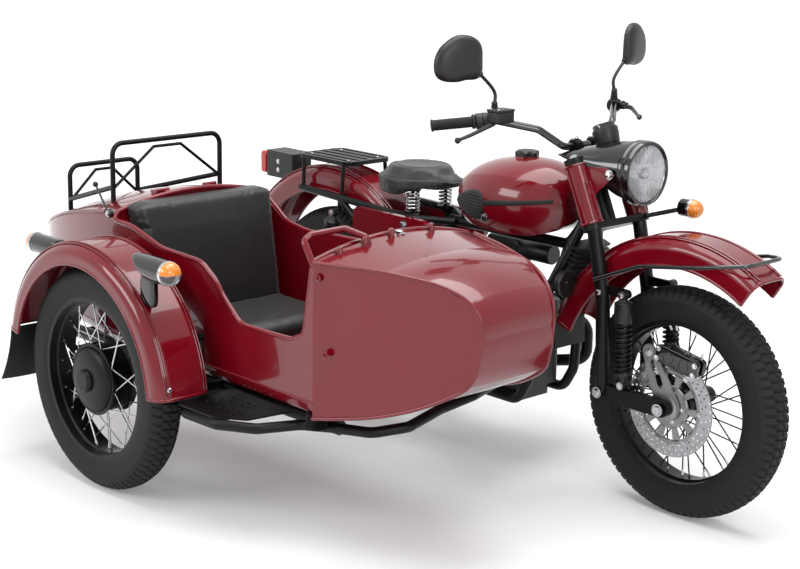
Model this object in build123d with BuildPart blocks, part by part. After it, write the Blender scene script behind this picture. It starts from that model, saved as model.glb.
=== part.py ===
from build123d import *
from math import cos, pi, radians, sin, sqrt
import os

# Sidecar motorcycle in millimetres: a boxer twin with a leading link fork, and a one-seat sidecar on its
# right. X points forward, Y to the left and Z up. The origin is on the floor, under the middle of the
# whole outline.

os.makedirs("parts", exist_ok=True)

# Driving sizes of the whole vehicle
wheelbase = 1496.0
track = 1130.0
sidecar_lead = 231.0
tail_overhang = 514.0
bar_half_width = 425.0
mirror_half_width = 451.0
tyre_radius = 338.0
tyre_half_width = 54.0
sidecar_fender_half = 90.0
fit_gap = 0.3
cut_overrun = 300.0

front_axle_x = (tail_overhang + wheelbase - tyre_radius) / 2
rear_axle_x = front_axle_x - wheelbase
sidecar_axle_x = rear_axle_x + sidecar_lead
bike_y = (track + sidecar_fender_half - mirror_half_width) / 2
sidecar_wheel_y = bike_y - track
wheel_diameter = 2 * tyre_radius

FORWARD = Vector(1, 0, 0)
LEFT = Vector(0, 1, 0)
UP = Vector(0, 0, 1)


def on_bike(forward_share, left, up_share):
    """A place on the motorcycle: a share of the wheelbase ahead of the rear axle, a distance to the left
    of the middle plane, and a share of the wheel diameter above the floor."""
    return Vector(rear_axle_x + forward_share * wheelbase, bike_y + left, up_share * wheel_diameter)


def cross_plane(place):
    """A sketch plane across the vehicle: its x runs left, its y runs up and it faces forward."""
    return Plane(origin=place, x_dir=LEFT, z_dir=FORWARD)


def side_plane(place):
    """A sketch plane along the vehicle: its x runs forward, its y runs up and it faces right."""
    return Plane(origin=place, x_dir=FORWARD, z_dir=-LEFT)


def tube(points, bend_radius, tube_radius, mode=Mode.ADD):
    """A round tube along straight runs joined by tangent arcs."""
    with BuildLine() as route:
        FilletPolyline(*points, radius=bend_radius)
    with BuildSketch(Plane(origin=route.line @ 0, z_dir=route.line % 0)) as ring:
        Circle(tube_radius)
    sweep(sections=ring.sketch, path=route.wires()[0], mode=mode)


def rod(start, end, rod_radius, mode=Mode.ADD):
    """A straight round bar from one point to another."""
    run = Vector(*end) - Vector(*start)
    with BuildSketch(Plane(origin=start, z_dir=run)) as ring:
        Circle(rod_radius)
    extrude(ring.sketch, amount=run.length, mode=mode)


def finish(part, name):
    """Label one piece and write its file."""
    part.label = name
    export_step(part, f"parts/{name}.step")


def both_sides(left):
    """The same distance to the left and to the right."""
    return (left, -left)


# Wheels: three alike, each with a tyre, and a rim with laced spokes on its own hub
rim_half_width = 46.0
rim_flange_radius = 246.0
rim_seat_radius = 235.0
rim_bed_radius = 224.0
rim_wall = 4.0
rim_well_half = 18.0
bead_half_width = 40.0
shoulder_half_width = 42.0
shoulder_drop = 14.0
spoke_count = 36
spoke_width = 4.0
spoke_lace_angle = 34.0
axle_radius = 10.0
axle_bore_gap = 0.3


def wheel_section_plane(axle):
    """The plane of a wheel's section: its x runs along the axle and its y out from it."""
    return Plane(origin=axle, x_dir=LEFT, z_dir=FORWARD)


def make_tyre(axle, name):
    """A tyre seated in the rim, its sidewalls and its crown each one arc."""
    bead_radius = rim_seat_radius + fit_gap
    lip_clear_radius = rim_flange_radius + rim_wall / 2
    belly_radius = (rim_flange_radius + tyre_radius) / 2
    shoulder_radius = tyre_radius - shoulder_drop
    bead_half = bead_half_width - fit_gap
    lip_half = bead_half_width - fit_gap
    with BuildPart() as tyre:
        with BuildSketch(wheel_section_plane(axle)):
            with BuildLine():
                Polyline((-lip_half, lip_clear_radius), (-bead_half, bead_radius),
                         (bead_half, bead_radius), (lip_half, lip_clear_radius))
                ThreePointArc((lip_half, lip_clear_radius), (tyre_half_width, belly_radius),
                              (shoulder_half_width, shoulder_radius))
                ThreePointArc((shoulder_half_width, shoulder_radius), (0, tyre_radius),
                              (-shoulder_half_width, shoulder_radius))
                ThreePointArc((-shoulder_half_width, shoulder_radius), (-tyre_half_width, belly_radius),
                              (-lip_half, lip_clear_radius))
            make_face()
        revolve(axis=Axis(axle, LEFT))
    finish(tyre.part, name)


def spoke_planes(axle, flange_radius, flange_half):
    """A plane at the hub end of each spoke, facing the place where the spoke meets the rim."""
    planes = []
    step = 2 * pi / spoke_count
    for index in range(spoke_count):
        side = 1 if index % 2 else -1
        lace = radians(spoke_lace_angle) * (1 if index % 4 < 2 else -1)
        rim_angle = index * step
        hub_angle = rim_angle + lace
        foot = axle + Vector(flange_radius * cos(hub_angle), side * flange_half, flange_radius * sin(hub_angle))
        head = axle + Vector(rim_bed_radius * cos(rim_angle), side * rim_well_half / 2,
                             rim_bed_radius * sin(rim_angle))
        planes.append(Plane(origin=foot, z_dir=head - foot))
        length = (head - foot).length
    return planes, length


def rim_and_spokes(axle, flange_radius, flange_half):
    """The rolled channel of the rim, and the spokes that reach it from the hub's flanges."""
    seat = rim_seat_radius
    bed = rim_bed_radius
    with BuildSketch(wheel_section_plane(axle)) as channel:
        with BuildLine():
            Polyline((-rim_half_width, rim_flange_radius), (-rim_half_width + rim_wall, rim_flange_radius),
                     (-bead_half_width, seat), (-rim_well_half - rim_wall, seat), (-rim_well_half, bed + rim_wall),
                     (rim_well_half, bed + rim_wall), (rim_well_half + rim_wall, seat), (bead_half_width, seat),
                     (rim_half_width - rim_wall, rim_flange_radius), (rim_half_width, rim_flange_radius),
                     (rim_half_width, seat - rim_wall), (rim_well_half + rim_wall, seat - rim_wall),
                     (rim_well_half, bed), (-rim_well_half, bed), (-rim_well_half - rim_wall, seat - rim_wall),
                     (-rim_half_width, seat - rim_wall), close=True)
        make_face()
    revolve(channel.sketch, axis=Axis(axle, LEFT))
    planes, length = spoke_planes(axle, flange_radius, flange_half)
    with BuildSketch(*planes) as feet:
        Rectangle(spoke_width, spoke_width)
    extrude(feet.sketch, amount=length + rim_wall / 2)


def turned(axle, outline, mode=Mode.ADD):
    """A solid turned about an axle, from points given as (along the axle to the left, radius)."""
    with BuildSketch(wheel_section_plane(axle)) as profile:
        with BuildLine():
            Polyline(*outline, close=True)
        make_face()
    revolve(profile.sketch, axis=Axis(axle, LEFT), mode=mode)


front_axle = Vector(front_axle_x, bike_y, tyre_radius)
rear_axle = Vector(rear_axle_x, bike_y, tyre_radius)
sidecar_axle = Vector(sidecar_axle_x, sidecar_wheel_y, tyre_radius)

make_tyre(front_axle, "front_tyre")
make_tyre(rear_axle, "rear_tyre")
make_tyre(sidecar_axle, "sidecar_tyre")

# Front wheel: a slim hub with a brake disc on its right end
slim_flange_radius = 52.0
slim_flange_half = 36.0
slim_flange_wall = 6.0
slim_barrel_radius = 30.0
hub_half_length = 66.0
axle_bore_radius = axle_radius + axle_bore_gap

with BuildPart() as front_rim:
    rim_and_spokes(front_axle, slim_flange_radius - spoke_width, slim_flange_half)
    turned(front_axle, [(-hub_half_length, axle_bore_radius), (-hub_half_length, slim_barrel_radius),
                        (-slim_flange_half - slim_flange_wall, slim_barrel_radius),
                        (-slim_flange_half - slim_flange_wall, slim_flange_radius),
                        (-slim_flange_half + slim_flange_wall, slim_flange_radius),
                        (-slim_flange_half + slim_flange_wall, slim_barrel_radius),
                        (slim_flange_half - slim_flange_wall, slim_barrel_radius),
                        (slim_flange_half - slim_flange_wall, slim_flange_radius),
                        (slim_flange_half + slim_flange_wall, slim_flange_radius),
                        (slim_flange_half + slim_flange_wall, slim_barrel_radius),
                        (hub_half_length, slim_barrel_radius), (hub_half_length, axle_bore_radius)])
finish(front_rim.part, "front_rim")

disc_radius = 147.5
disc_band = 40.0
disc_thickness = 5.0
disc_arm_count = 6
disc_arm_width = 22.0
disc_bore_radius = 20.0
disc_boss_radius = 46.0
disc_back_y = bike_y - hub_half_length
disc_plane = Plane(origin=(front_axle_x, disc_back_y, tyre_radius), x_dir=FORWARD, z_dir=-LEFT)

with BuildPart() as brake_disc:
    with BuildSketch(disc_plane):
        Circle(disc_radius)
        Circle(disc_radius - disc_band, mode=Mode.SUBTRACT)
        Circle(disc_boss_radius)
        with PolarLocations((disc_radius - disc_band + disc_boss_radius) / 2, disc_arm_count):
            Rectangle(disc_radius - disc_band - disc_boss_radius + disc_arm_width / 2, disc_arm_width)
        Circle(disc_bore_radius, mode=Mode.SUBTRACT)
    extrude(amount=disc_thickness)
finish(brake_disc.part, "brake_disc")

# Rear and sidecar wheels: a wide drum hub. The sidecar's has a domed cap on its open side
drum_radius = 100.0
drum_half_length = 44.0
drum_flange_wall = 5.0
drum_flange_proud = 8.0
dome_rise = 22.0
cap_radius = 17.0
cap_rise = 14.0


def drum_outline(open_end):
    """A drum with a rim at each end, from a list whose last points close its open side."""
    outer = drum_radius + drum_flange_proud
    return [(drum_half_length, axle_bore_radius), (drum_half_length, outer),
            (drum_half_length - drum_flange_wall, outer),
            (drum_half_length - drum_flange_wall - drum_flange_proud, drum_radius),
            (-drum_half_length + drum_flange_wall + drum_flange_proud, drum_radius),
            (-drum_half_length + drum_flange_wall, outer), (-drum_half_length, outer)] + open_end


with BuildPart() as rear_rim:
    rim_and_spokes(rear_axle, drum_radius - spoke_width, drum_half_length - drum_flange_proud)
    turned(rear_axle, drum_outline([(-drum_half_length, axle_bore_radius)]))
finish(rear_rim.part, "rear_rim")

with BuildPart() as sidecar_rim:
    rim_and_spokes(sidecar_axle, drum_radius - spoke_width, drum_half_length - drum_flange_proud)
    blind = -drum_half_length + drum_flange_proud
    turned(sidecar_axle, drum_outline([
        (-drum_half_length - dome_rise / 2, drum_radius), (-drum_half_length - dome_rise, drum_radius / 2),
        (-drum_half_length - dome_rise, cap_radius), (-drum_half_length - dome_rise - cap_rise, cap_radius),
        (-drum_half_length - dome_rise - cap_rise, 0), (blind, 0), (blind, axle_bore_radius)]))
finish(sidecar_rim.part, "sidecar_rim")


# Fenders: a rolled channel turned about the wheel's axle
fender_radius = 485.0
fender_half_width = 76.0
fender_wall = 4.0
fender_skirt = 78.0
fender_shoulder = 40.0
front_tip_angle = 57.0
front_heel_angle = 160.0
rear_tip_angle = 42.0
rear_heel_angle = 152.0


def make_fender(axle, radius, half_width, skirt, shoulder, front_angle, rear_angle):
    """A fender over one wheel, from its front edge to its rear edge, as angles up from straight ahead."""
    start = radians(rear_angle)
    outward = Vector(cos(start), 0, sin(start))
    section = Plane(origin=axle, x_dir=LEFT, z_dir=LEFT.cross(outward))
    cut_corner = shoulder * (1 - sqrt(2) / 2)
    for inset, mode in ((0, Mode.ADD), (fender_wall, Mode.SUBTRACT)):
        half = half_width - inset
        crown = radius - inset
        foot = radius - skirt - inset
        with BuildSketch(section) as channel:
            with BuildLine():
                Polyline((-half, crown - shoulder), (-half, foot), (half, foot), (half, crown - shoulder))
                ThreePointArc((half, crown - shoulder), (half - cut_corner, crown - cut_corner),
                              (half - shoulder, crown))
                Line((half - shoulder, crown), (-half + shoulder, crown))
                ThreePointArc((-half + shoulder, crown), (-half + cut_corner, crown - cut_corner),
                              (-half, crown - shoulder))
            make_face()
        revolve(channel.sketch, axis=Axis(axle, LEFT), revolution_arc=rear_angle - front_angle, mode=mode)


with BuildPart() as front_fender:
    make_fender(front_axle, fender_radius, fender_half_width, fender_skirt, fender_shoulder,
                front_tip_angle, front_heel_angle)
finish(front_fender.part, "front_fender")

with BuildPart() as rear_fender:
    make_fender(rear_axle, fender_radius, fender_half_width, fender_skirt, fender_shoulder,
                rear_tip_angle, rear_heel_angle)
finish(rear_fender.part, "rear_fender")

sidecar_fender_radius = 410.0
sidecar_fender_skirt = 62.0
sidecar_tip_angle = 5.0
sidecar_heel_angle = 168.0

with BuildPart() as sidecar_fender:
    make_fender(sidecar_axle, sidecar_fender_radius, sidecar_fender_half, sidecar_fender_skirt,
                fender_shoulder, sidecar_tip_angle, sidecar_heel_angle)
finish(sidecar_fender.part, "sidecar_fender")

# Flaps hang from the heels of the front and sidecar fenders
flap_thickness = 5.0
front_flap_drop = 90.0
sidecar_flap_drop = 150.0
flap_inset = 4.0


def make_flap(axle, radius, half_width, heel_angle, drop, lean):
    """A rubber flap below a fender's heel, from its crown down."""
    angle = radians(heel_angle)
    top = axle + Vector((radius - fender_wall) * cos(angle), 0, (radius - fender_wall) * sin(angle))
    clear = fit_gap + flap_thickness * (abs(sin(angle) / cos(angle)) + sin(radians(lean)))
    plane = Plane(origin=top - UP * clear, x_dir=LEFT, z_dir=Vector(cos(radians(lean)), 0, sin(radians(lean))))
    with BuildSketch(plane) as sheet:
        with Locations((0, -drop / 2)):
            RectangleRounded(2 * (half_width - fender_wall - flap_inset), drop, flap_inset)
    extrude(sheet.sketch, amount=flap_thickness)


front_flap_lean = 4.0
sidecar_flap_lean = 8.0

with BuildPart() as front_flap:
    make_flap(front_axle, fender_radius, fender_half_width, front_heel_angle, front_flap_drop, front_flap_lean)
finish(front_flap.part, "front_flap")

with BuildPart() as sidecar_flap:
    make_flap(sidecar_axle, sidecar_fender_radius, sidecar_fender_half, sidecar_heel_angle, sidecar_flap_drop,
              sidecar_flap_lean)
finish(sidecar_flap.part, "sidecar_flap")

# Steering: a raked stem carries two clamps, the fork tubes, and the links that hold the front axle
rake = 24.0
steer_origin = on_bike(0.7594, 0, 1.3314)
stem_up = Vector(-sin(radians(rake)), 0, cos(radians(rake)))
stem_ahead = Vector(cos(radians(rake)), 0, sin(radians(rake)))
head_tube_top = 75.0
head_tube_bottom = -95.0
head_tube_radius = 30.0
stem_radius = 14.0
clamp_gap = 3.0
clamp_thickness = 20.0
fork_half = 102.0
fork_offset = 35.0
fork_tube_radius = 21.0
clamp_eye_radius = 31.0
knee_back = 236.0
knee_height = 610.0
fork_bend_radius = 120.0
link_length = 222.0
link_thickness = 26.0
link_eye_radius = 24.0
bar_radius = 11.0
riser_height = 143.0
riser_half = 40.0
riser_width = 28.0
riser_radius = 19.0


def on_stem(along, left, ahead):
    """A place by its distance up the steering stem, to the left of it and ahead of it."""
    return steer_origin + stem_up * along + LEFT * left + stem_ahead * ahead


clamp_plane = Plane(origin=on_stem(0, 0, 0), x_dir=LEFT, z_dir=stem_up)
upper_clamp_start = head_tube_top + clamp_gap
lower_clamp_start = head_tube_bottom - clamp_gap - clamp_thickness
fork_top = on_stem(upper_clamp_start + clamp_thickness, 0, fork_offset)
fork_bend = on_stem(lower_clamp_start - clamp_gap, 0, fork_offset)
fork_knee = Vector(front_axle_x - knee_back, bike_y, knee_height)
fork_foot = Vector(front_axle_x - link_length, bike_y, tyre_radius)
pin_head_radius = 12.0
fender_pin_share = 0.5
spacer_radius = 17.0

# Front shocks stand on the links and hang from a lug on each fork tube, beside the inner end of their eye
shock_eye_radius = 13.0
shock_eye_width = 26.0
front_shock_half = 110.0
front_shock_lean = 12.0
front_shock_top = 640.0
front_shock_foot_forward = 80.0
shock_lug_thickness = 8.0
shock_lug_inner = front_shock_half - shock_eye_width / 2 - fit_gap - shock_lug_thickness

shock_foot = Vector(fork_foot.X + front_shock_foot_forward, bike_y,
                    tyre_radius + link_eye_radius + shock_eye_radius + fit_gap)
shock_head = Vector(shock_foot.X - front_shock_lean, bike_y, front_shock_top)

with BuildPart() as fork:
    for along in (upper_clamp_start, lower_clamp_start):
        with BuildSketch(clamp_plane.offset(along)):
            with Locations((0, 0)):
                Circle(clamp_eye_radius)
            with Locations((fork_half, -fork_offset), (-fork_half, -fork_offset)):
                Circle(clamp_eye_radius)
            make_hull()
        extrude(amount=clamp_thickness)
    rod(on_stem(lower_clamp_start, 0, 0), on_stem(upper_clamp_start + clamp_thickness, 0, 0), stem_radius)
    for left in both_sides(fork_half):
        shift = LEFT * left
        tube([fork_top + shift, fork_bend + shift, fork_knee + shift, fork_foot + shift],
             fork_bend_radius, fork_tube_radius)
        inner = left - link_thickness / 2 if left > 0 else left + link_thickness / 2
        out = 1 if left > 0 else -1
        with BuildSketch(Plane(origin=(0, bike_y + inner, 0), x_dir=FORWARD, z_dir=-LEFT)):
            with Locations((fork_foot.X, tyre_radius), (front_axle_x, tyre_radius)):
                Circle(link_eye_radius)
            make_hull()
        extrude(amount=-out * link_thickness)
        with BuildSketch(Plane(origin=(0, bike_y + out * shock_lug_inner, 0), x_dir=FORWARD, z_dir=-LEFT)):
            with Locations((fork_knee.X, front_shock_top), (shock_head.X, front_shock_top)):
                Circle(shock_eye_radius)
            make_hull()
        extrude(amount=-out * shock_lug_thickness)
        pin_place = fork_bend + (fork_knee - fork_bend) * fender_pin_share
        rod(pin_place + LEFT * out * (fender_half_width + fit_gap), pin_place + shift, pin_head_radius)
    rod(front_axle - LEFT * (fork_half + link_thickness), front_axle + LEFT * (fork_half + link_thickness),
        axle_radius)
    rod(front_axle - LEFT * (fork_half - clamp_gap), front_axle - LEFT * (hub_half_length + fit_gap), spacer_radius)
    rod(front_axle + LEFT * (hub_half_length + fit_gap), front_axle + LEFT * (fork_half - clamp_gap), spacer_radius)
    for left in both_sides(riser_half):
        rod(on_stem(upper_clamp_start, left, 0), on_stem(riser_height, left, 0), riser_radius - clamp_gap)
        rod(on_stem(riser_height, left - riser_width / 2, 0), on_stem(riser_height, left + riser_width / 2, 0),
            riser_radius)
    with BuildSketch(Plane(origin=on_stem(riser_height, -bar_half_width, 0), z_dir=LEFT)):
        Circle(bar_radius + fit_gap)
    extrude(amount=2 * bar_half_width, mode=Mode.SUBTRACT)
finish(fork.part, "fork")

# Coil-over shocks: a spring drawn as stacked rings, between two eyes
shock_rod_radius = 9.0
spring_radius = 25.0
spring_core_radius = 19.0
spring_pitch = 17.0
spring_seat = 22.0


def make_shock(lower, upper):
    """A spring unit from its lower eye to its upper eye, both with their bolts across the vehicle."""
    run = upper - lower
    bottom = shock_eye_radius + spring_seat
    top = run.length - shock_eye_radius - spring_seat
    coils = max(2, int((top - bottom) / spring_pitch))
    pitch = (top - bottom) / coils
    outline = [(0, 0), (shock_rod_radius, 0), (shock_rod_radius, bottom - spring_seat / 2),
               (spring_radius, bottom - spring_seat / 2), (spring_radius, bottom)]
    for coil in range(coils):
        start = bottom + coil * pitch
        outline += [(spring_core_radius, start + pitch / 4), (spring_core_radius, start + pitch / 2),
                    (spring_radius, start + pitch * 3 / 4), (spring_radius, start + pitch)]
    outline += [(spring_radius, top + spring_seat / 2), (shock_rod_radius, top + spring_seat / 2),
                (shock_rod_radius, run.length), (0, run.length)]
    plane = Plane(origin=lower, x_dir=LEFT, z_dir=LEFT.cross(run.normalized()))
    with BuildSketch(plane) as profile:
        with BuildLine():
            Polyline(*outline, close=True)
        make_face()
    revolve(profile.sketch, axis=Axis(lower, run))
    for eye in (lower, upper):
        rod(eye - LEFT * shock_eye_width / 2, eye + LEFT * shock_eye_width / 2, shock_eye_radius)


with BuildPart() as fork_shocks:
    for left in both_sides(front_shock_half):
        make_shock(shock_foot + LEFT * left, shock_head + LEFT * left)
finish(fork_shocks.part, "fork_shocks")

# Red shrouds round the fork tubes, each with an ear that holds the headlight
shroud_radius = 33.0
shroud_bore = fork_tube_radius + fit_gap
shroud_top = upper_clamp_start - fit_gap
shroud_bottom = lower_clamp_start + clamp_thickness + fit_gap
ear_thickness = 4.0
ear_reach = 118.0
ear_drop = 110.0
headlight_height = 975.0
headlight_back = 180.0
headlight_front_x = front_axle_x - headlight_back
lamp_radius = 92.0
lamp_rim_depth = 38.0
lamp_boss_radius = 9.0

lamp_front = Vector(headlight_front_x, bike_y, headlight_height)
lamp_bolt_back = 56.0
lamp_bolt = lamp_front - FORWARD * lamp_bolt_back
ear_half = lamp_radius + ear_thickness

with BuildPart() as fork_shrouds:
    for left in both_sides(1):
        side = left * fork_half
        inner = left * ear_half
        start = on_stem(shroud_bottom, side, fork_offset)
        with BuildSketch(Plane(origin=start, z_dir=stem_up)) as sleeve:
            Circle(shroud_radius)
        extrude(sleeve.sketch, amount=shroud_top - shroud_bottom)
        root_top = on_stem(shroud_top, 0, fork_offset)
        root_low = on_stem(shroud_top - ear_drop, 0, fork_offset)
        with BuildSketch(Plane(origin=(0, bike_y + inner, 0), x_dir=FORWARD, z_dir=-LEFT)) as ear:
            with BuildLine():
                Polyline((root_top.X, root_top.Z), (lamp_bolt.X - lamp_boss_radius, lamp_bolt.Z + 2 * lamp_boss_radius),
                         (lamp_bolt.X + 2 * lamp_boss_radius, lamp_bolt.Z),
                         (lamp_bolt.X - lamp_boss_radius, lamp_bolt.Z - 3 * lamp_boss_radius),
                         (root_low.X, root_low.Z), close=True)
            make_face()
        extrude(ear.sketch, amount=-left * ear_thickness)
    for left in both_sides(fork_half):
        start = on_stem(shroud_bottom, left, fork_offset)
        with BuildSketch(Plane(origin=start, z_dir=stem_up)) as bore:
            Circle(shroud_bore)
        extrude(bore.sketch, amount=shroud_top - shroud_bottom, mode=Mode.SUBTRACT)
finish(fork_shrouds.part, "fork_shrouds")

# Headlight: a bowl that narrows to the rear, its rim, and a glass with a shallow dome
bowl_tail_radius = 45.0
bowl_length = 150.0
bowl_neck = 50.0
lens_rise = 12.0
lens_depth = 14.0
lens_radius = 84.0
lens_ball_radius = ((lens_radius - fit_gap) ** 2 + lens_rise ** 2) / (2 * lens_rise)

with BuildPart() as headlight_shell:
    with BuildSketch(Plane(origin=lamp_front, x_dir=LEFT, z_dir=LEFT.cross(-FORWARD))) as bowl:
        with BuildLine():
            Polyline((0, bowl_length), (bowl_tail_radius, bowl_length))
            ThreePointArc((bowl_tail_radius, bowl_length),
                          ((bowl_tail_radius + lamp_radius) / 2 + lens_rise / 2, (bowl_length + lamp_rim_depth) / 2),
                          (lamp_radius - ear_thickness, lamp_rim_depth))
            Polyline((lamp_radius - ear_thickness, lamp_rim_depth), (lamp_radius, lamp_rim_depth), (lamp_radius, 0),
                     (lens_radius, 0), (lens_radius, lens_depth), (0, lens_depth), (0, bowl_length))
        make_face()
    revolve(bowl.sketch, axis=Axis(lamp_front, FORWARD))
    rod(lamp_bolt - LEFT * (ear_half - fit_gap), lamp_bolt + LEFT * (ear_half - fit_gap), lamp_boss_radius)
finish(headlight_shell.part, "headlight_shell")

with BuildPart() as headlight_lens:
    with BuildSketch(Plane(origin=lamp_front, x_dir=LEFT, z_dir=LEFT.cross(FORWARD))) as glass:
        with BuildLine():
            Polyline((0, lens_rise), (0, -lens_depth + fit_gap), (lens_radius - fit_gap, -lens_depth + fit_gap),
                     (lens_radius - fit_gap, 0))
            RadiusArc((lens_radius - fit_gap, 0), (0, lens_rise), -lens_ball_radius)
        make_face()
    revolve(glass.sketch, axis=Axis(lamp_front, FORWARD))
finish(headlight_lens.part, "headlight_lens")

# Handlebar: low in the middle, up and back to the grips
bar_low_half = 90.0
bar_rise_half = 165.0
bar_bend_half = 270.0
bar_rise = 54.0
bar_top_rise = 81.0
bar_sweep = 120.0
bar_grip_sweep = 225.0
bar_rise_sweep = 35.0
bar_grip_drop = 17.0
bar_bend_radius = 42.0
grip_radius = 16.0
grip_length = 125.0
bar_centre = on_stem(riser_height, 0, 0)


def bar_points(out):
    """The middle, the rise, the bend and the end of one half of the handlebar."""
    return [bar_centre + LEFT * out * bar_low_half,
            bar_centre + Vector(-bar_rise_sweep, out * bar_rise_half, bar_rise),
            bar_centre + Vector(-bar_sweep, out * bar_bend_half, bar_top_rise),
            bar_centre + Vector(-bar_grip_sweep, out * (bar_half_width - grip_radius), bar_top_rise - bar_grip_drop)]


def along_grip(out, inward):
    """A place on the grip's stretch of the handlebar, by its distance in from the end."""
    low, rise, bend, end = bar_points(out)
    return end + (bend - end).normalized() * inward


def bar_form(radius, mode=Mode.ADD):
    """The whole handlebar as one bent tube."""
    tube(list(reversed(bar_points(-1))) + bar_points(1), bar_bend_radius, radius, mode=mode)


with BuildPart() as handlebar:
    bar_form(bar_radius)
finish(handlebar.part, "handlebar")

with BuildPart() as grips:
    for out in both_sides(1):
        rod(along_grip(out, -clamp_gap), along_grip(out, grip_length), grip_radius)
        rod(along_grip(out, -fit_gap), along_grip(out, clamp_gap), bar_radius + fit_gap, mode=Mode.SUBTRACT)
    bar_form(bar_radius + fit_gap, mode=Mode.SUBTRACT)
finish(grips.part, "grips")

# Switch housings, levers and the brake reservoir
housing_radius = 23.0
housing_length = 38.0
lever_ahead = 48.0
lever_drop = 32.0
lever_radius = 6.0
lever_tip_inward = 6.0
lever_ball_radius = 9.0
reservoir_length = 62.0
reservoir_width = 40.0
reservoir_height = 30.0
housing_start = grip_length + fit_gap

with BuildPart() as controls:
    for out in both_sides(1):
        near = along_grip(out, housing_start)
        far = along_grip(out, housing_start + housing_length)
        rod(near, far, housing_radius)
        root = along_grip(out, housing_start + housing_length / 2)
        knee = root + FORWARD * lever_ahead
        tip = along_grip(out, lever_tip_inward) + FORWARD * 2 * lever_ahead - UP * lever_drop
        rod(root, knee, 2 * lever_radius)
        rod(knee, tip, lever_radius)
        with Locations(tip, knee):
            Sphere(lever_ball_radius)
    reservoir_base = along_grip(-1, housing_start + housing_length) + Vector(lever_ahead, 0, 0)
    with BuildSketch(Plane.XY.offset(reservoir_base.Z)) as pot:
        with Locations((reservoir_base.X, reservoir_base.Y)):
            RectangleRounded(reservoir_width, reservoir_length, lever_radius)
    extrude(pot.sketch, amount=reservoir_height)
    bar_form(bar_radius + fit_gap, mode=Mode.SUBTRACT)
finish(controls.part, "controls")

# Mirrors: a bent stem and a rounded head, each turned a little to the rider
mirror_stem_radius = 5.0
mirror_rise = 62.0
mirror_lean_out = 46.0
mirror_lean_up = 48.0
mirror_width = 148.0
mirror_height = 104.0
mirror_depth = 26.0
mirror_back_share = 0.62
mirror_up_share = 0.42
mirror_turn = 18.0
mirror_bend_radius = 14.0
mirror_foot_rise = housing_radius + 3 * fit_gap
mirror_centre_half = (mirror_half_width - mirror_width / 2 * cos(radians(mirror_turn))
                      + mirror_depth / 2 * sin(radians(mirror_turn)))

with BuildPart() as mirrors:
    for out in both_sides(1):
        foot = along_grip(out, housing_start + housing_length / 2) + UP * mirror_foot_rise
        elbow = foot + UP * mirror_rise
        neck = elbow + Vector(0, out * mirror_lean_out, mirror_lean_up)
        tube([foot, elbow, neck], mirror_bend_radius, mirror_stem_radius)
        centre = Vector(neck.X, bike_y + out * mirror_centre_half, neck.Z + mirror_height * mirror_up_share)
        facing = Vector(cos(radians(mirror_turn)), out * sin(radians(mirror_turn)), 0)
        glass_plane = Plane(origin=centre - facing * mirror_depth / 2, x_dir=UP.cross(facing), z_dir=facing)
        with BuildSketch(glass_plane) as face:
            Ellipse(mirror_width / 2, mirror_height / 2)
        with BuildSketch(glass_plane.offset(mirror_depth)) as back:
            Ellipse(mirror_width / 2 * mirror_back_share, mirror_height / 2 * mirror_back_share)
        loft([face.sketch, back.sketch])
finish(mirrors.part, "mirrors")

# Speedometer on a neck above the headlight
dial_length = 52.0
dial_width = 76.0
dial_height = 54.0
dial_back = 160.0
dial_seat_share = 0.62
dial_base = Vector(headlight_front_x - dial_back, bike_y, headlight_height + lamp_radius * dial_seat_share)

with BuildPart() as speedometer:
    with BuildSketch(Plane.XY.offset(dial_base.Z)) as case:
        with Locations((dial_base.X, dial_base.Y)):
            RectangleRounded(dial_length, dial_width, lever_radius)
    extrude(case.sketch, amount=dial_height)
finish(speedometer.part, "speedometer")

# Left turn signal of the motorcycle: the sidecar carries the right ones
signal_radius = 26.0
signal_stalk_radius = 7.0
signal_body_length = 34.0
signal_lens_length = 30.0
front_signal_half = 150.0
front_signal_ahead = 262.0
front_signal_drop = 8.0

signal_root = on_stem(lower_clamp_start + clamp_thickness / 2, fork_half, fork_offset + clamp_eye_radius + clamp_gap)
signal_back = Vector(steer_origin.X + front_signal_ahead - signal_body_length - signal_lens_length,
                     bike_y + front_signal_half, signal_root.Z + signal_radius + front_signal_drop)

with BuildPart() as front_signal:
    rod(signal_root, signal_back + FORWARD * signal_body_length / 2, signal_stalk_radius)
    rod(signal_back, signal_back + FORWARD * signal_body_length, signal_radius)
finish(front_signal.part, "front_signal")

with BuildPart() as front_signal_lens:
    rod(signal_back + FORWARD * (signal_body_length + fit_gap),
        signal_back + FORWARD * (signal_body_length + signal_lens_length), signal_radius)
finish(front_signal_lens.part, "front_signal_lens")

# Brake caliper over the top of the disc, on an arm from the right link
caliper_gap = 5.0
caliper_arm_width = 46.0
caliper_arm_thickness = 7.0
caliper_reach = 28.0
caliper_length = 150.0
caliper_depth = 52.0
caliper_wall = 16.0
disc_face_y = disc_back_y - disc_thickness

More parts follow.
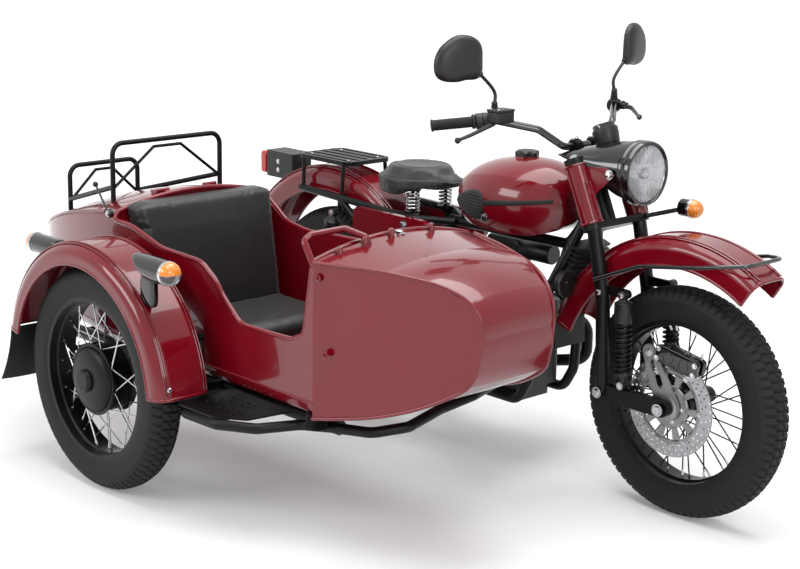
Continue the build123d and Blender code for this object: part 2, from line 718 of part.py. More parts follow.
with BuildPart() as caliper:
    with BuildSketch(Plane(origin=(0, disc_face_y - caliper_gap, 0), x_dir=FORWARD, z_dir=-LEFT)):
        with Locations((front_axle_x, tyre_radius)):
            Circle(caliper_arm_width / 2 + spacer_radius)
        with Locations((front_axle_x - disc_radius / 2, tyre_radius + disc_radius)):
            Circle(caliper_arm_width / 2)
        make_hull()
        with Locations((front_axle_x, tyre_radius)):
            Circle(spacer_radius + fit_gap, mode=Mode.SUBTRACT)
    extrude(amount=caliper_arm_thickness)
    with BuildSketch(Plane(origin=(0, disc_back_y + caliper_gap + caliper_wall, 0), x_dir=FORWARD, z_dir=-LEFT)):
        with Locations((front_axle_x, tyre_radius + disc_radius - caliper_reach + caliper_depth / 2)):
            RectangleRounded(caliper_length, caliper_depth, caliper_wall)
    extrude(amount=2 * caliper_wall + 2 * caliper_gap + disc_thickness)
    with BuildSketch(Plane(origin=(0, disc_back_y + caliper_gap, 0), x_dir=FORWARD, z_dir=-LEFT)):
        with Locations((front_axle_x, tyre_radius)):
            Circle(disc_radius + caliper_gap)
            Circle(disc_radius - disc_band - caliper_gap, mode=Mode.SUBTRACT)
    extrude(amount=2 * caliper_gap + disc_thickness, mode=Mode.SUBTRACT)
finish(caliper.part, "caliper")

# Black hoop from the fork tubes round the nose of the front fender
hoop_radius = 6.0
hoop_bend_radius = 40.0
hoop_root_share = 0.68
hoop_root = fork_bend + (fork_knee - fork_bend) * hoop_root_share
hoop_root_half = fork_half + fork_tube_radius + hoop_radius + fit_gap
hoop_shares = [(0.30, 0.88, 0.53), (0.72, 0.88, 0.80), (0.86, 0.86, 0.92), (1.0, 0.62, 1.0)]
hoop_reach = 490.0
hoop_climb = 118.0


def hoop_half(out):
    """One half of the hoop, from shares of its reach, its root's half width and its climb."""
    points = [hoop_root + LEFT * out * hoop_root_half]
    for ahead, across, climb in hoop_shares:
        points.append(hoop_root + Vector(ahead * hoop_reach, out * across * hoop_root_half, climb * hoop_climb))
    return points


with BuildPart() as fender_hoop:
    tube(hoop_half(-1) + list(reversed(hoop_half(1))), hoop_bend_radius, hoop_radius)
finish(fender_hoop.part, "fender_hoop")

# Main frame: a backbone, two cradle loops, seat rails and their braces
frame_half = 105.0
frame_tube_radius = 16.0
rail_tube_radius = 12.0
neck_radius = 20.0
neck_cross_radius = 18.0
frame_bend_radius = 46.0
cradle_shares = [(0.752, 0.22, 1.235), (0.7086, 0.95, 0.917), (0.6651, 1.0, 0.710), (0.6564, 1.0, 0.444),
                 (0.630, 1.0, 0.343), (0.3409, 1.0, 0.343), (0.2975, 1.0, 0.621), (0.274, 1.0, 1.055)]
rail_shares = [(0.7300, 0.0, 1.180), (0.6900, 0.0, 1.068), (0.3500, 0.0, 1.062)]
seat_rail_shares = [(0.3800, 0.20, 1.062), (0.3000, 0.96, 1.066), (-0.0700, 0.96, 1.100)]
brace_shares = [(0.2870, 0.96, 0.70), (0.0700, 0.96, 1.08)]
pivot_share = (0.3275, 0.5104)
shock_top_share = (0.0668, 1.02)
lug_share = 0.96


def frame_points(shares, out):
    """Places on the frame from shares of the wheelbase, the frame's half width and the wheel diameter."""
    return [on_bike(ahead, out * across * frame_half, up) for ahead, across, up in shares]


swing_pivot = on_bike(pivot_share[0], 0, pivot_share[1])
rear_shock_top = on_bike(shock_top_share[0], 0, shock_top_share[1])
rear_shock_half = 128.0
rear_shock_eye_y = rear_shock_half - shock_eye_width / 2 - fit_gap

with BuildPart() as main_frame:
    neck = on_bike(cradle_shares[0][0], 0, cradle_shares[0][2])
    neck_half = cradle_shares[0][1] * frame_half + neck_radius
    rod(on_stem(head_tube_bottom, 0, 0), on_stem(head_tube_top, 0, 0), head_tube_radius)
    rod(on_stem(head_tube_bottom + neck_radius, 0, 0), neck, neck_radius)
    rod(neck - LEFT * neck_half, neck + LEFT * neck_half, neck_cross_radius)
    tube([on_stem(0, 0, 0)] + frame_points(rail_shares, 1), frame_bend_radius, frame_tube_radius)
    for out in both_sides(1):
        tube(frame_points(cradle_shares, out), frame_bend_radius, frame_tube_radius)
        tube(frame_points(seat_rail_shares, out), frame_bend_radius, rail_tube_radius)
        rod(frame_points(brace_shares, out)[0], frame_points(brace_shares, out)[1], rail_tube_radius)
        lug_top = on_bike(shock_top_share[0], out * frame_half * lug_share, seat_rail_shares[2][2])
        lug_low = Vector(lug_top.X, lug_top.Y, rear_shock_top.Z)
        rod(lug_top, lug_low - UP * shock_rod_radius / 2, shock_rod_radius)
        rod(lug_low - LEFT * out * shock_rod_radius / 2, Vector(lug_low.X, bike_y + out * rear_shock_eye_y, lug_low.Z),
            shock_rod_radius)
        rod(Vector(lug_top.X, bike_y + out * (fender_half_width + fit_gap), lug_top.Z), lug_top, pin_head_radius / 2)
    rod(swing_pivot - LEFT * frame_half, swing_pivot + LEFT * frame_half, frame_tube_radius - fit_gap)
    with BuildSketch(Plane(origin=on_stem(head_tube_bottom - clamp_gap, 0, 0), z_dir=stem_up)):
        Circle(stem_radius + fit_gap)
    extrude(amount=head_tube_top - head_tube_bottom + 2 * clamp_gap, mode=Mode.SUBTRACT)
finish(main_frame.part, "main_frame")

# Swinging arm with the bevel drive on its right end
arm_half = 74.0
arm_tube_radius = 14.0
arm_taper = 1.0
arm_plate = 12.0
cross_overhang = 4.0
drive_radius = 88.0
drive_inner = 52.0
drive_thickness = 42.0
shock_ear_radius = 17.0
shock_foot_up = 66.0
shock_foot_ahead = 22.0

rear_shock_foot = rear_axle + Vector(shock_foot_ahead, 0, shock_foot_up)

with BuildPart() as swing_arm:
    cross = swing_pivot - FORWARD * (frame_tube_radius + arm_tube_radius)
    rod(cross - LEFT * (arm_half + cross_overhang), cross + LEFT * (arm_half + cross_overhang), arm_tube_radius)
    for out in both_sides(1):
        rod(cross + LEFT * out * arm_half, rear_axle + LEFT * out * arm_half, arm_tube_radius - arm_taper)
        with BuildSketch(Plane(origin=(0, bike_y + out * (arm_half - arm_plate / 2), 0), x_dir=FORWARD,
                               z_dir=-LEFT)):
            with Locations((rear_axle.X, rear_axle.Z)):
                Circle(arm_tube_radius + axle_radius)
            with Locations((rear_shock_foot.X, rear_shock_foot.Z)):
                Circle(shock_ear_radius)
            make_hull()
        extrude(amount=-out * arm_plate)
        rod(rear_shock_foot + LEFT * out * arm_half, rear_shock_foot + LEFT * out * rear_shock_eye_y,
            shock_rod_radius)
    rod(rear_axle - LEFT * (arm_half + arm_plate), rear_axle + LEFT * (arm_half + arm_plate), axle_radius)
    rod(rear_axle + LEFT * (drum_half_length + fit_gap), rear_axle + LEFT * arm_half, spacer_radius)
    rod(rear_axle - LEFT * drive_inner, rear_axle - LEFT * (drive_inner + drive_thickness), drive_radius)
    rod(rear_axle - LEFT * (drum_half_length + fit_gap), rear_axle - LEFT * (drive_inner + drive_thickness / 2),
        spacer_radius)
finish(swing_arm.part, "swing_arm")

# Engine: a closed crankcase and gearbox, and two finned cylinders that lie across the frame
crankcase_length = 300.0
crankcase_front_share = 0.628
crankcase_half = 88.0
crankcase_bottom = 254.0
crankcase_top = 520.0
gearbox_length = 130.0
gearbox_half = 78.0
gearbox_top = 470.0
sump_half = 74.0
sump_drop = 40.0
case_round = 22.0
cylinder_share = (0.528, 0.6095)
cylinder_core_radius = 50.0
fin_radius = 74.0
fin_count = 9
fin_thickness = 5.0
barrel_length = 125.0
head_length = 62.0
cover_length = 38.0
cover_radius = 62.0
cover_end_share = 0.6

crankcase_front = on_bike(crankcase_front_share, 0, 0)
cylinder_root = on_bike(cylinder_share[0], 0, cylinder_share[1])

with BuildPart() as crankcase:
    with BuildSketch(Plane.XY.offset(crankcase_bottom)):
        with Locations((crankcase_front.X - crankcase_length / 2, bike_y)):
            RectangleRounded(crankcase_length, 2 * crankcase_half, case_round)
    extrude(amount=crankcase_top - crankcase_bottom)
    with BuildSketch(Plane.XY.offset(crankcase_bottom)):
        with Locations((crankcase_front.X - crankcase_length - gearbox_length / 2 + case_round, bike_y)):
            RectangleRounded(gearbox_length + 2 * case_round, 2 * gearbox_half, case_round)
    extrude(amount=gearbox_top - crankcase_bottom)
    with BuildSketch(Plane.XY.offset(crankcase_bottom - sump_drop)):
        with Locations((crankcase_front.X - crankcase_length / 2, bike_y)):
            RectangleRounded(crankcase_length - 2 * case_round, 2 * sump_half, case_round)
    extrude(amount=sump_drop)
finish(crankcase.part, "crankcase")


def cylinder_outline():
    """The comb of one barrel and head from the crankcase outwards: fins by a fixed pitch, then the cover."""
    finned = barrel_length + head_length
    pitch = finned / fin_count
    outline = [(0, 0), (0, cylinder_core_radius)]
    for fin in range(fin_count):
        start = (fin + 0.5) * pitch
        outline += [(start, cylinder_core_radius), (start, fin_radius),
                    (start + fin_thickness, fin_radius), (start + fin_thickness, cylinder_core_radius)]
    outline += [(finned, cylinder_core_radius), (finned, cover_radius), (finned + cover_length / 2, cover_radius),
                (finned + cover_length, cover_radius * cover_end_share), (finned + cover_length, 0)]
    return outline


with BuildPart() as cylinders:
    for out in both_sides(1):
        root = cylinder_root + LEFT * out * crankcase_half
        turned(root, [(out * along, radius) for along, radius in cylinder_outline()])
finish(cylinders.part, "cylinders")

# Exhaust: a pipe from each head, down and back to a silencer low beside the rear wheel
pipe_radius = 19.0
pipe_bend_radius = 42.0
pipe_drop_share = 0.4
silencer_radius = 44.0
silencer_half = 168.0
silencer_length = 640.0
silencer_tail_radius = 22.0
silencer_cone = 60.0
pipe_low = 272.0
silencer_height = 292.0
silencer_front_share = 0.30
exhaust_reach = 92.0
port_half = crankcase_half + barrel_length + head_length / 2

with BuildPart() as exhaust:
    for out in both_sides(1):
        port = cylinder_root + LEFT * out * port_half + FORWARD * (fin_radius + fit_gap)
        front = port + FORWARD * (exhaust_reach - pipe_bend_radius)
        mouth = on_bike(silencer_front_share, out * silencer_half, 0) + UP * silencer_height
        tube([port, front, Vector(front.X, port.Y, pipe_low + pipe_bend_radius * pipe_drop_share),
              Vector(crankcase_front.X - crankcase_length / 2, mouth.Y, pipe_low),
              mouth - FORWARD * 3 * silencer_cone], pipe_bend_radius, pipe_radius)
        with BuildSketch(Plane(origin=mouth, x_dir=LEFT, z_dir=LEFT.cross(-FORWARD))) as can:
            with BuildLine():
                Polyline((0, 0), (pipe_radius + clamp_gap, 0), (silencer_radius, silencer_cone),
                         (silencer_radius, silencer_length - silencer_cone), (silencer_tail_radius, silencer_length),
                         (0, silencer_length), close=True)
            make_face()
        revolve(can.sketch, axis=Axis(mouth, FORWARD))
finish(exhaust.part, "exhaust")

# Fuel tank: a loft through sections given as shares of its own length, half width and height
tank_rear_share = 0.425
tank_length = 430.0
tank_half_width = 160.0
tank_bottom = 747.0
tank_height = 220.0
tank_brow_share = 0.80
tank_foot_share = 0.80
tank_belly_share = 0.42
tank_shares = [  # along, half width, bottom, top
    (0.0, 0.40, 0.30, 0.52), (0.10, 0.74, 0.08, 0.78), (0.34, 0.97, 0.0, 0.95),
    (0.62, 1.0, 0.0, 1.0), (0.88, 0.72, 0.07, 0.90), (1.0, 0.40, 0.24, 0.72)]
tank_rear = on_bike(tank_rear_share, 0, 0)


def tank_form(swell, mode=Mode.ADD):
    """The tank's closed form, grown by a named distance on its sides, its bottom and its top."""
    sections = []
    for along, half_share, bottom_share, top_share in tank_shares:
        half = tank_half_width * half_share + swell
        low = tank_bottom + tank_height * bottom_share - swell
        high = tank_bottom + tank_height * top_share + swell
        belly = low + (high - low) * tank_belly_share
        brow = low + (high - low) * tank_brow_share
        with BuildSketch(cross_plane((tank_rear.X + along * tank_length, bike_y, 0))) as section:
            with BuildLine():
                Line((-half * tank_foot_share, low), (half * tank_foot_share, low))
                ThreePointArc((half * tank_foot_share, low), (half, belly), (half * tank_foot_share, brow))
                ThreePointArc((half * tank_foot_share, brow), (0, high), (-half * tank_foot_share, brow))
                ThreePointArc((-half * tank_foot_share, brow), (-half, belly), (-half * tank_foot_share, low))
            make_face()
        sections.append(section.sketch)
    loft(sections, mode=mode)


with BuildPart() as fuel_tank:
    tank_form(0)
finish(fuel_tank.part, "fuel_tank")

cap_share = 0.50
tank_cap_radius = 30.0
tank_cap_rise = 17.0

with BuildPart() as fuel_cap:
    cap_place = Vector(tank_rear.X + cap_share * tank_length, bike_y, tank_bottom + tank_height)
    rod(cap_place - UP * tank_cap_rise, cap_place + UP * tank_cap_rise, tank_cap_radius)
    tank_form(fit_gap, mode=Mode.SUBTRACT)
finish(fuel_cap.part, "fuel_cap")

pad_swell = 9.0
pad_start_share = 0.06
pad_length = 165.0
pad_low = 26.0
pad_height = 86.0
pad_round = 34.0

with BuildPart() as knee_pads:
    tank_form(pad_swell)
    with BuildSketch(side_plane((0, bike_y + 2 * tank_half_width, 0))) as window:
        with Locations((tank_rear.X + pad_start_share * tank_length + pad_length / 2,
                        tank_bottom + pad_low + pad_height / 2)):
            RectangleRounded(pad_length, pad_height, pad_round)
    extrude(window.sketch, amount=4 * tank_half_width, mode=Mode.INTERSECT)
    tank_form(fit_gap, mode=Mode.SUBTRACT)
finish(knee_pads.part, "knee_pads")

# Rider's saddle: broad at the back, narrow at the nose, on a bracket and two springs
saddle_rear_share = 0.250
saddle_length = 325.0
saddle_half_width = 128.0
saddle_nose_radius = 44.0
saddle_base = 812.0
saddle_depth = 62.0
saddle_round = 24.0
saddle_spring_radius = 24.0
saddle_spring_half = 74.0
saddle_spring_share = 0.285
saddle_stem_share = 0.395

saddle_rear = on_bike(saddle_rear_share, 0, 0)
rail_height = seat_rail_shares[0][2] * wheel_diameter

with BuildPart() as saddle:
    with BuildSketch(Plane.XY.offset(saddle_base)):
        with Locations((saddle_rear.X, bike_y)):
            Circle(saddle_half_width)
        with Locations((saddle_rear.X + saddle_length - saddle_half_width - saddle_nose_radius, bike_y)):
            Circle(saddle_nose_radius)
        make_hull()
    extrude(amount=saddle_depth)
    fillet(faces().sort_by(Axis.Z)[-1].edges(), radius=saddle_round)
finish(saddle.part, "saddle")

with BuildPart() as saddle_springs:
    for out in both_sides(1):
        rail_in, rail_out = frame_points(seat_rail_shares, out)[1:]
        foot = on_bike(saddle_spring_share, out * saddle_spring_half, 0)
        foot += UP * ((rail_in + (rail_out - rail_in) * ((foot.X - rail_in.X) / (rail_out.X - rail_in.X))).Z
                      + rail_tube_radius + fit_gap)
        head = Vector(foot.X, foot.Y, saddle_base - fit_gap)
        rod(foot + UP * fit_gap, head, saddle_spring_radius)
    stem_foot = on_bike(saddle_stem_share, 0, 0) + UP * (rail_height + frame_tube_radius + 3 * fit_gap)
    rod(stem_foot, Vector(stem_foot.X, bike_y, saddle_base - fit_gap), saddle_spring_radius / 2)
finish(saddle_springs.part, "saddle_springs")

# Side covers under the saddle
cover_front_share = 0.375
cover_panel_length = 350.0
cover_panel_height = 90.0
cover_panel_base = 640.0
cover_panel_inner = frame_half + frame_tube_radius + fit_gap
cover_panel_thickness = 20.0
cover_panel_round = 26.0

with BuildPart() as side_covers:
    for out in both_sides(1):
        with BuildSketch(Plane(origin=(0, bike_y + out * cover_panel_inner, 0), x_dir=FORWARD, z_dir=-LEFT)):
            with Locations((on_bike(cover_front_share, 0, 0).X - cover_panel_length / 2,
                            cover_panel_base + cover_panel_height / 2)):
                RectangleRounded(cover_panel_length, cover_panel_height, cover_panel_round)
        extrude(amount=-out * cover_panel_thickness)
finish(side_covers.part, "side_covers")

# Luggage rack over the rear fender, with its legs down to the seat rails
rack_front_share = 0.092
rack_length = 266.0
rack_half_width = 100.0
rack_height = 852.0
rack_tube_radius = 7.0
rack_bend_radius = 30.0
rack_slat_count = 4
rack_slat_width = 24.0
rack_slat_thickness = 4.0
rack_leg_half = frame_half * lug_share

rack_front_x = on_bike(rack_front_share, 0, 0).X
rack_rear_x = rack_front_x - rack_length
seat_rail_end = frame_points(seat_rail_shares, 1)[2]

with BuildPart() as rear_rack:
    with BuildSketch(Plane.XY.offset(rack_height - rack_tube_radius)):
        with Locations(((rack_front_x + rack_rear_x) / 2, bike_y)):
            RectangleRounded(rack_length, 2 * rack_half_width, rack_bend_radius)
            RectangleRounded(rack_length - 4 * rack_tube_radius, 2 * rack_half_width - 4 * rack_tube_radius,
                             rack_bend_radius - 2 * rack_tube_radius, mode=Mode.SUBTRACT)
            with GridLocations(0, 2 * rack_half_width / (rack_slat_count + 1), 1, rack_slat_count):
                Rectangle(rack_length - 2 * rack_tube_radius, rack_slat_width)
    extrude(amount=2 * rack_tube_radius)
    for out in both_sides(1):
        for rack_x in (rack_front_x - rack_bend_radius, rack_rear_x + rack_bend_radius):
            foot_x = max(rack_x, seat_rail_end.X + rail_tube_radius)
            rod((rack_x, bike_y + out * (rack_half_width - rack_tube_radius), rack_height),
                (foot_x, bike_y + out * rack_leg_half, seat_rail_end.Z + rail_tube_radius + fit_gap),
                rack_tube_radius)
finish(rear_rack.part, "rear_rack")

# Tail light on a bracket behind the rear fender
bracket_length = 150.0
bracket_half = 44.0
bracket_base = 742.0
bracket_height = 92.0
tail_lens_depth = 32.0
tail_lens_height = 80.0
tail_round = 8.0
bracket_front_x = rear_axle_x - sqrt(fender_radius ** 2 - (bracket_base - tyre_radius) ** 2) + bracket_length / 3

with BuildPart() as tail_bracket:
    with BuildSketch(Plane.XY.offset(bracket_base)):
        with Locations((bracket_front_x - bracket_length / 2, bike_y)):
            RectangleRounded(bracket_length, 2 * bracket_half, tail_round)
    extrude(amount=bracket_height)
    turned(rear_axle, [(-cut_overrun, 0), (-cut_overrun, fender_radius + fit_gap),
                       (cut_overrun, fender_radius + fit_gap), (cut_overrun, 0)], mode=Mode.SUBTRACT)
finish(tail_bracket.part, "tail_bracket")

with BuildPart() as tail_light:
    lens_x = bracket_front_x - bracket_length - fit_gap
    with BuildSketch(Plane(origin=(lens_x, bike_y, bracket_base + bracket_height / 2), x_dir=LEFT,
                           z_dir=-FORWARD)):
        RectangleRounded(2 * bracket_half, tail_lens_height, tail_round)
    extrude(amount=tail_lens_depth)
finish(tail_light.part, "tail_light")

# Sidecar body: three shells that meet at upright seams, lofted through sections across the vehicle
hull_offset = 700.0
hull_length = 2040.0
hull_half_width = 300.0
deck_height = 807.0
deck_crown = 40.0
hull_wall = 14.0
bilge_radius = 44.0
shoulder_radius = 16.0
tail_seam_share = 0.520
nose_seam_share = 0.755
hull_y = bike_y - hull_offset
hull_tail_x = rear_axle_x - tail_overhang
tail_shares = [  # along, half width, bottom, shoulder, crown
    (0.0, 0.50, 0.62, 0.80, 0.5), (0.06, 0.70, 0.535, 0.86, 0.7), (0.15, 0.86, 0.49, 0.925, 0.9),
    (0.27, 0.97, 0.472, 0.98, 1.0), (0.40, 1.0, 0.47, 0.995, 1.0), (tail_seam_share, 1.0, 0.47, 1.0, 1.0)]

def hull_x(along):
    """A place along the sidecar body, as a share of its length from the tail."""
    return hull_tail_x + along * hull_length


def hull_section(along, half_share, bottom_share, shoulder_share, crown_share, inset):
    """One section of the body: a flat bottom, round bilges, upright sides and a crowned deck."""
    half = hull_half_width * half_share - inset
    low = deck_height * bottom_share + inset
    high = deck_height * shoulder_share - inset
    bilge = bilge_radius * half_share - inset
    turn = shoulder_radius - inset / 2
    bilge_cut = bilge * (1 - sqrt(2) / 2)
    turn_cut = turn * (1 - sqrt(2) / 2)
    crown = high + deck_crown * crown_share
    with BuildSketch(cross_plane((hull_x(along), hull_y, 0))) as section:
        with BuildLine():
            Line((-half + bilge, low), (half - bilge, low))
            ThreePointArc((half - bilge, low), (half - bilge_cut, low + bilge_cut), (half, low + bilge))
            Line((half, low + bilge), (half, high - turn))
            ThreePointArc((half, high - turn), (half - turn_cut, high - turn_cut), (half - turn, high))
            ThreePointArc((half - turn, high), (0, crown), (-half + turn, high))
            ThreePointArc((-half + turn, high), (-half + turn_cut, high - turn_cut), (-half, high - turn))
            Line((-half, high - turn), (-half, low + bilge))
            ThreePointArc((-half, low + bilge), (-half + bilge_cut, low + bilge_cut), (-half + bilge, low))
        make_face()
    return section.sketch


def hull_form(shares, inset, mode=Mode.ADD):
    """The closed form of one shell, moved in from its outside by a named distance."""
    loft([hull_section(*row, inset) for row in shares], mode=mode)


def side_cut(points, start_y, width, mode=Mode.SUBTRACT):
    """Cut or keep what lies inside a side outline, from one distance to the left over a width."""
    with BuildSketch(Plane(origin=(0, start_y, 0), x_dir=FORWARD, z_dir=-LEFT)) as outline:
        with BuildLine():
            Polyline(*points, close=True)
        make_face()
    extrude(outline.sketch, amount=width, mode=mode)


# Edges of the cockpit, as shares of the body's length and the deck's height. The entry is on the right
sky_share = 1.3
right_edge_shares = [(0.299, 0.955), (0.345, 0.950), (0.416, 0.900), (0.512, 0.892), (0.544, 0.841),
                     (0.562, 0.789), (0.601, 0.710), (0.708, 0.715), (0.735, 0.746), (0.750, 0.985)]
left_edge_shares = [(0.299, 0.958), (0.349, 0.875), (0.398, 0.859), (0.480, 0.869),
                    (0.640, 0.880), (0.720, 0.930), (0.750, 0.985)]


def cockpit_cut():
    """Open the cockpit above the edge of each side wall."""
    for edge_shares, start_y in ((right_edge_shares, hull_y), (left_edge_shares, hull_y + hull_half_width + hull_wall)):
        edge = [(hull_x(along), up * deck_height) for along, up in edge_shares]
        sky = sky_share * deck_height
        side_cut([(edge[0][0], sky)] + edge + [(edge[-1][0], sky)], start_y, hull_half_width + hull_wall)


bulkhead_top_share = 0.294
bulkhead_foot_share = 0.360
bulkhead_thickness = 12.0
lid_front_share = 0.277
lid_rear_share = 0.040
lid_front_half = 222.0
lid_rear_half = 138.0
lid_thickness = 6.0
lid_ledge = 14.0
lid_corner = 36.0
lid_gap = 5.0
lid_cut_share = 0.72
lid_cut_base = deck_height * lid_cut_share


def lid_window(grow):
    """The lid's outline seen from above, grown by a named distance all round."""
    with BuildSketch(Plane.XY.offset(lid_cut_base)) as window:
        with BuildLine():
            FilletPolyline((hull_x(lid_front_share) + grow, hull_y + lid_front_half + grow),
                           (hull_x(lid_rear_share) - grow, hull_y + lid_rear_half + grow),
                           (hull_x(lid_rear_share) - grow, hull_y - lid_rear_half - grow),
                           (hull_x(lid_front_share) + grow, hull_y - lid_front_half - grow),
                           radius=lid_corner, close=True)
        make_face()
    return window.sketch


hinge_radius = 6.0
hinge_pin_radius = 3.0
hinge_knuckle = 24.0
hinge_half = 90.0
hinge_rise = 2.0
hinge_leaf_reach = 28.0
hinge_leaf_depth = 10.0


def deck_top(along):
    """The height of the crown of the deck, between the two sections beside a share of the length."""
    for low, high in zip(tail_shares, tail_shares[1:]):
        if low[0] <= along <= high[0] and high[0] > low[0]:
            part = (along - low[0]) / (high[0] - low[0])
            return (deck_height * (low[3] + part * (high[3] - low[3]))
                    + deck_crown * (low[4] + part * (high[4] - low[4])))


hinge_place = Vector(hull_x(lid_front_share) + lid_gap / 2, hull_y, deck_top(lid_front_share) + hinge_rise)


def hinge_side(out, start, reach):
    """One knuckle of a hinge beside the lid's front edge, with its leaf ahead of it or behind it."""
    near = hinge_place + LEFT * out * start
    rod(near, near + LEFT * out * hinge_knuckle, hinge_radius)
    with BuildSketch(Plane(origin=near, x_dir=FORWARD, z_dir=-LEFT)) as leaf:
        with Locations((reach / 2, -hinge_leaf_depth / 2)):
            Rectangle(abs(reach), hinge_leaf_depth)
    extrude(leaf.sketch, amount=-out * hinge_knuckle)


def hinge_room(out, start):
    """Room cut round the other side's knuckle."""
    near = hinge_place + LEFT * out * (start - fit_gap)
    rod(near, near + LEFT * out * (hinge_knuckle + 2 * fit_gap), hinge_radius + lid_gap / 2, mode=Mode.SUBTRACT)


hull_knuckle_start = hinge_half - hinge_knuckle
lid_knuckle_start = hinge_half + fit_gap

with BuildPart() as trunk_void:
    hull_form(tail_shares[1:], hull_wall)
    sky = sky_share * deck_height
    side_cut([(hull_x(bulkhead_top_share), sky), (hull_x(bulkhead_top_share), deck_height),
              (hull_x(bulkhead_foot_share), 0), (hull_x(bulkhead_foot_share) + bulkhead_thickness, 0),
              (hull_x(bulkhead_top_share) + bulkhead_thickness, deck_height),
              (hull_x(bulkhead_top_share) + bulkhead_thickness, sky)],
             hull_y + hull_half_width, 2 * hull_half_width)

with BuildPart() as lid_skin:
    hull_form(tail_shares, 0)
    hull_form(tail_shares, lid_thickness, mode=Mode.SUBTRACT)

with BuildPart() as lid_recess:
    add(lid_skin.part)
    extrude(lid_window(lid_gap), amount=deck_height, mode=Mode.INTERSECT)

with BuildPart() as hull_tail:
    hull_form(tail_shares, 0)
    add(trunk_void.part, mode=Mode.SUBTRACT)
    add(lid_recess.part, mode=Mode.SUBTRACT)
    extrude(lid_window(-lid_ledge), amount=deck_height, mode=Mode.SUBTRACT)
    cockpit_cut()
    for out in both_sides(1):
        hinge_room(out, lid_knuckle_start)
        hinge_side(out, hull_knuckle_start, hinge_leaf_reach)
        near = hinge_place + LEFT * out * hull_knuckle_start
        rod(near, near + LEFT * out * hinge_knuckle, hinge_pin_radius + fit_gap, mode=Mode.SUBTRACT)
finish(hull_tail.part, "hull_tail")

with BuildPart() as hull_tub:
    tub_length = hull_x(nose_seam_share) - hull_x(tail_seam_share)
    extrude(hull_section(*tail_shares[-1], 0), amount=tub_length)
    extrude(hull_section(*tail_shares[-1], hull_wall), amount=tub_length, mode=Mode.SUBTRACT)
    cockpit_cut()
finish(hull_tub.part, "hull_tub")

# Nose: side profiles lofted across the body, then narrowed to its tapered plan
nose_reach = 471.0
nose_bulge = 12.0
nose_tip_share = 0.425
nose_middle_share = 0.735
nose_shares = [  # along, up, crown, bulge: every second place is the middle of an arc
    (0.412, 0.976, 1.0, 0.0), (0.684, 0.9535, 1.0, 0.2), (0.877, 0.904, 0.9, 0.6), (0.941, 0.858, 0.7, 0.9),
    (0.951, 0.798, 0.5, 1.0), (0.938, 0.719, 0.3, 1.0), (0.873, 0.652, 0.1, 0.8), (0.578, 0.556, 0.0, 0.2),
    (0.227, 0.493, 0.0, 0.0)]
nose_seam_x = hull_x(nose_seam_share)


def nose_profile(y, full, inset):
    """One side profile of the nose; full is 1 on the middle plane, where the crown and the bulge are."""
    middle = nose_middle_share * deck_height
    squeeze = 1 - inset / (deck_height - middle)

    def place(along, up, crown, bulge):
        x = nose_seam_x + along * (nose_reach - inset) + full * bulge * nose_bulge
        return x, middle + (up * deck_height - middle) * squeeze + full * crown * deck_crown

    points = [place(*row) for row in nose_shares]
    top = place(0, 1, 1, 0)
    bottom = place(0, tail_shares[-1][2], 0, 0)
    with BuildSketch(Plane(origin=(0, y, 0), x_dir=FORWARD, z_dir=-LEFT)) as profile:
        with BuildLine():
            Line(top, points[0])
            for first in range(0, len(points) - 1, 2):
                ThreePointArc(points[first], points[first + 1], points[first + 2])
            Polyline(points[-1], bottom, top)
        make_face()
    return profile.sketch


def nose_form(inset):
    """The closed form of the nose, moved in from its outside by a named distance."""
    half = hull_half_width - inset
    tip_half = nose_tip_share * hull_half_width - inset
    tip_x = nose_seam_x + nose_reach + nose_bulge
    with BuildPart() as form:
        loft([nose_profile(hull_y + half, 0, inset), nose_profile(hull_y, 1, inset),
              nose_profile(hull_y - half, 0, inset)])
        with BuildSketch(Plane.XY) as plan:
            with BuildLine():
                Polyline((nose_seam_x, hull_y + half), (tip_x, hull_y + tip_half), (tip_x, hull_y - tip_half),
                         (nose_seam_x, hull_y - half), close=True)
            make_face()
        extrude(plan.sketch, amount=2 * deck_height, mode=Mode.INTERSECT)
    return form.part


with BuildPart() as hull_nose:
    add(nose_form(0))
    add(nose_form(hull_wall), mode=Mode.SUBTRACT)
finish(hull_nose.part, "hull_nose")

# Trunk lid: the skin inside its own outline, with the outer knuckles and the pins of its two hinges
with BuildPart() as trunk_lid:
    add(lid_skin.part)
    extrude(lid_window(0), amount=deck_height, mode=Mode.INTERSECT)
    for out in both_sides(1):
        hinge_room(out, hull_knuckle_start)
        hinge_side(out, lid_knuckle_start, -hinge_leaf_reach)
        rod(hinge_place + LEFT * out * hull_knuckle_start, hinge_place + LEFT * out * (lid_knuckle_start + hinge_knuckle),
            hinge_pin_radius)
finish(trunk_lid.part, "trunk_lid")

# Luggage rack on the lid: two hoops with a brace in each, and a runner between them
hoop_tube_radius = 8.0
front_hoop_share = 0.230
rear_hoop_share = 0.052
front_hoop_half = 205.0
rear_hoop_half = 132.0
front_hoop_top = 975.0
rear_hoop_top = 850.0
hoop_corner = 36.0
hoop_foot_sink = 60.0
brace_radius = 5.0
brace_apex_drop = 22.0
runner_half = 96.0
runner_rise = 26.0

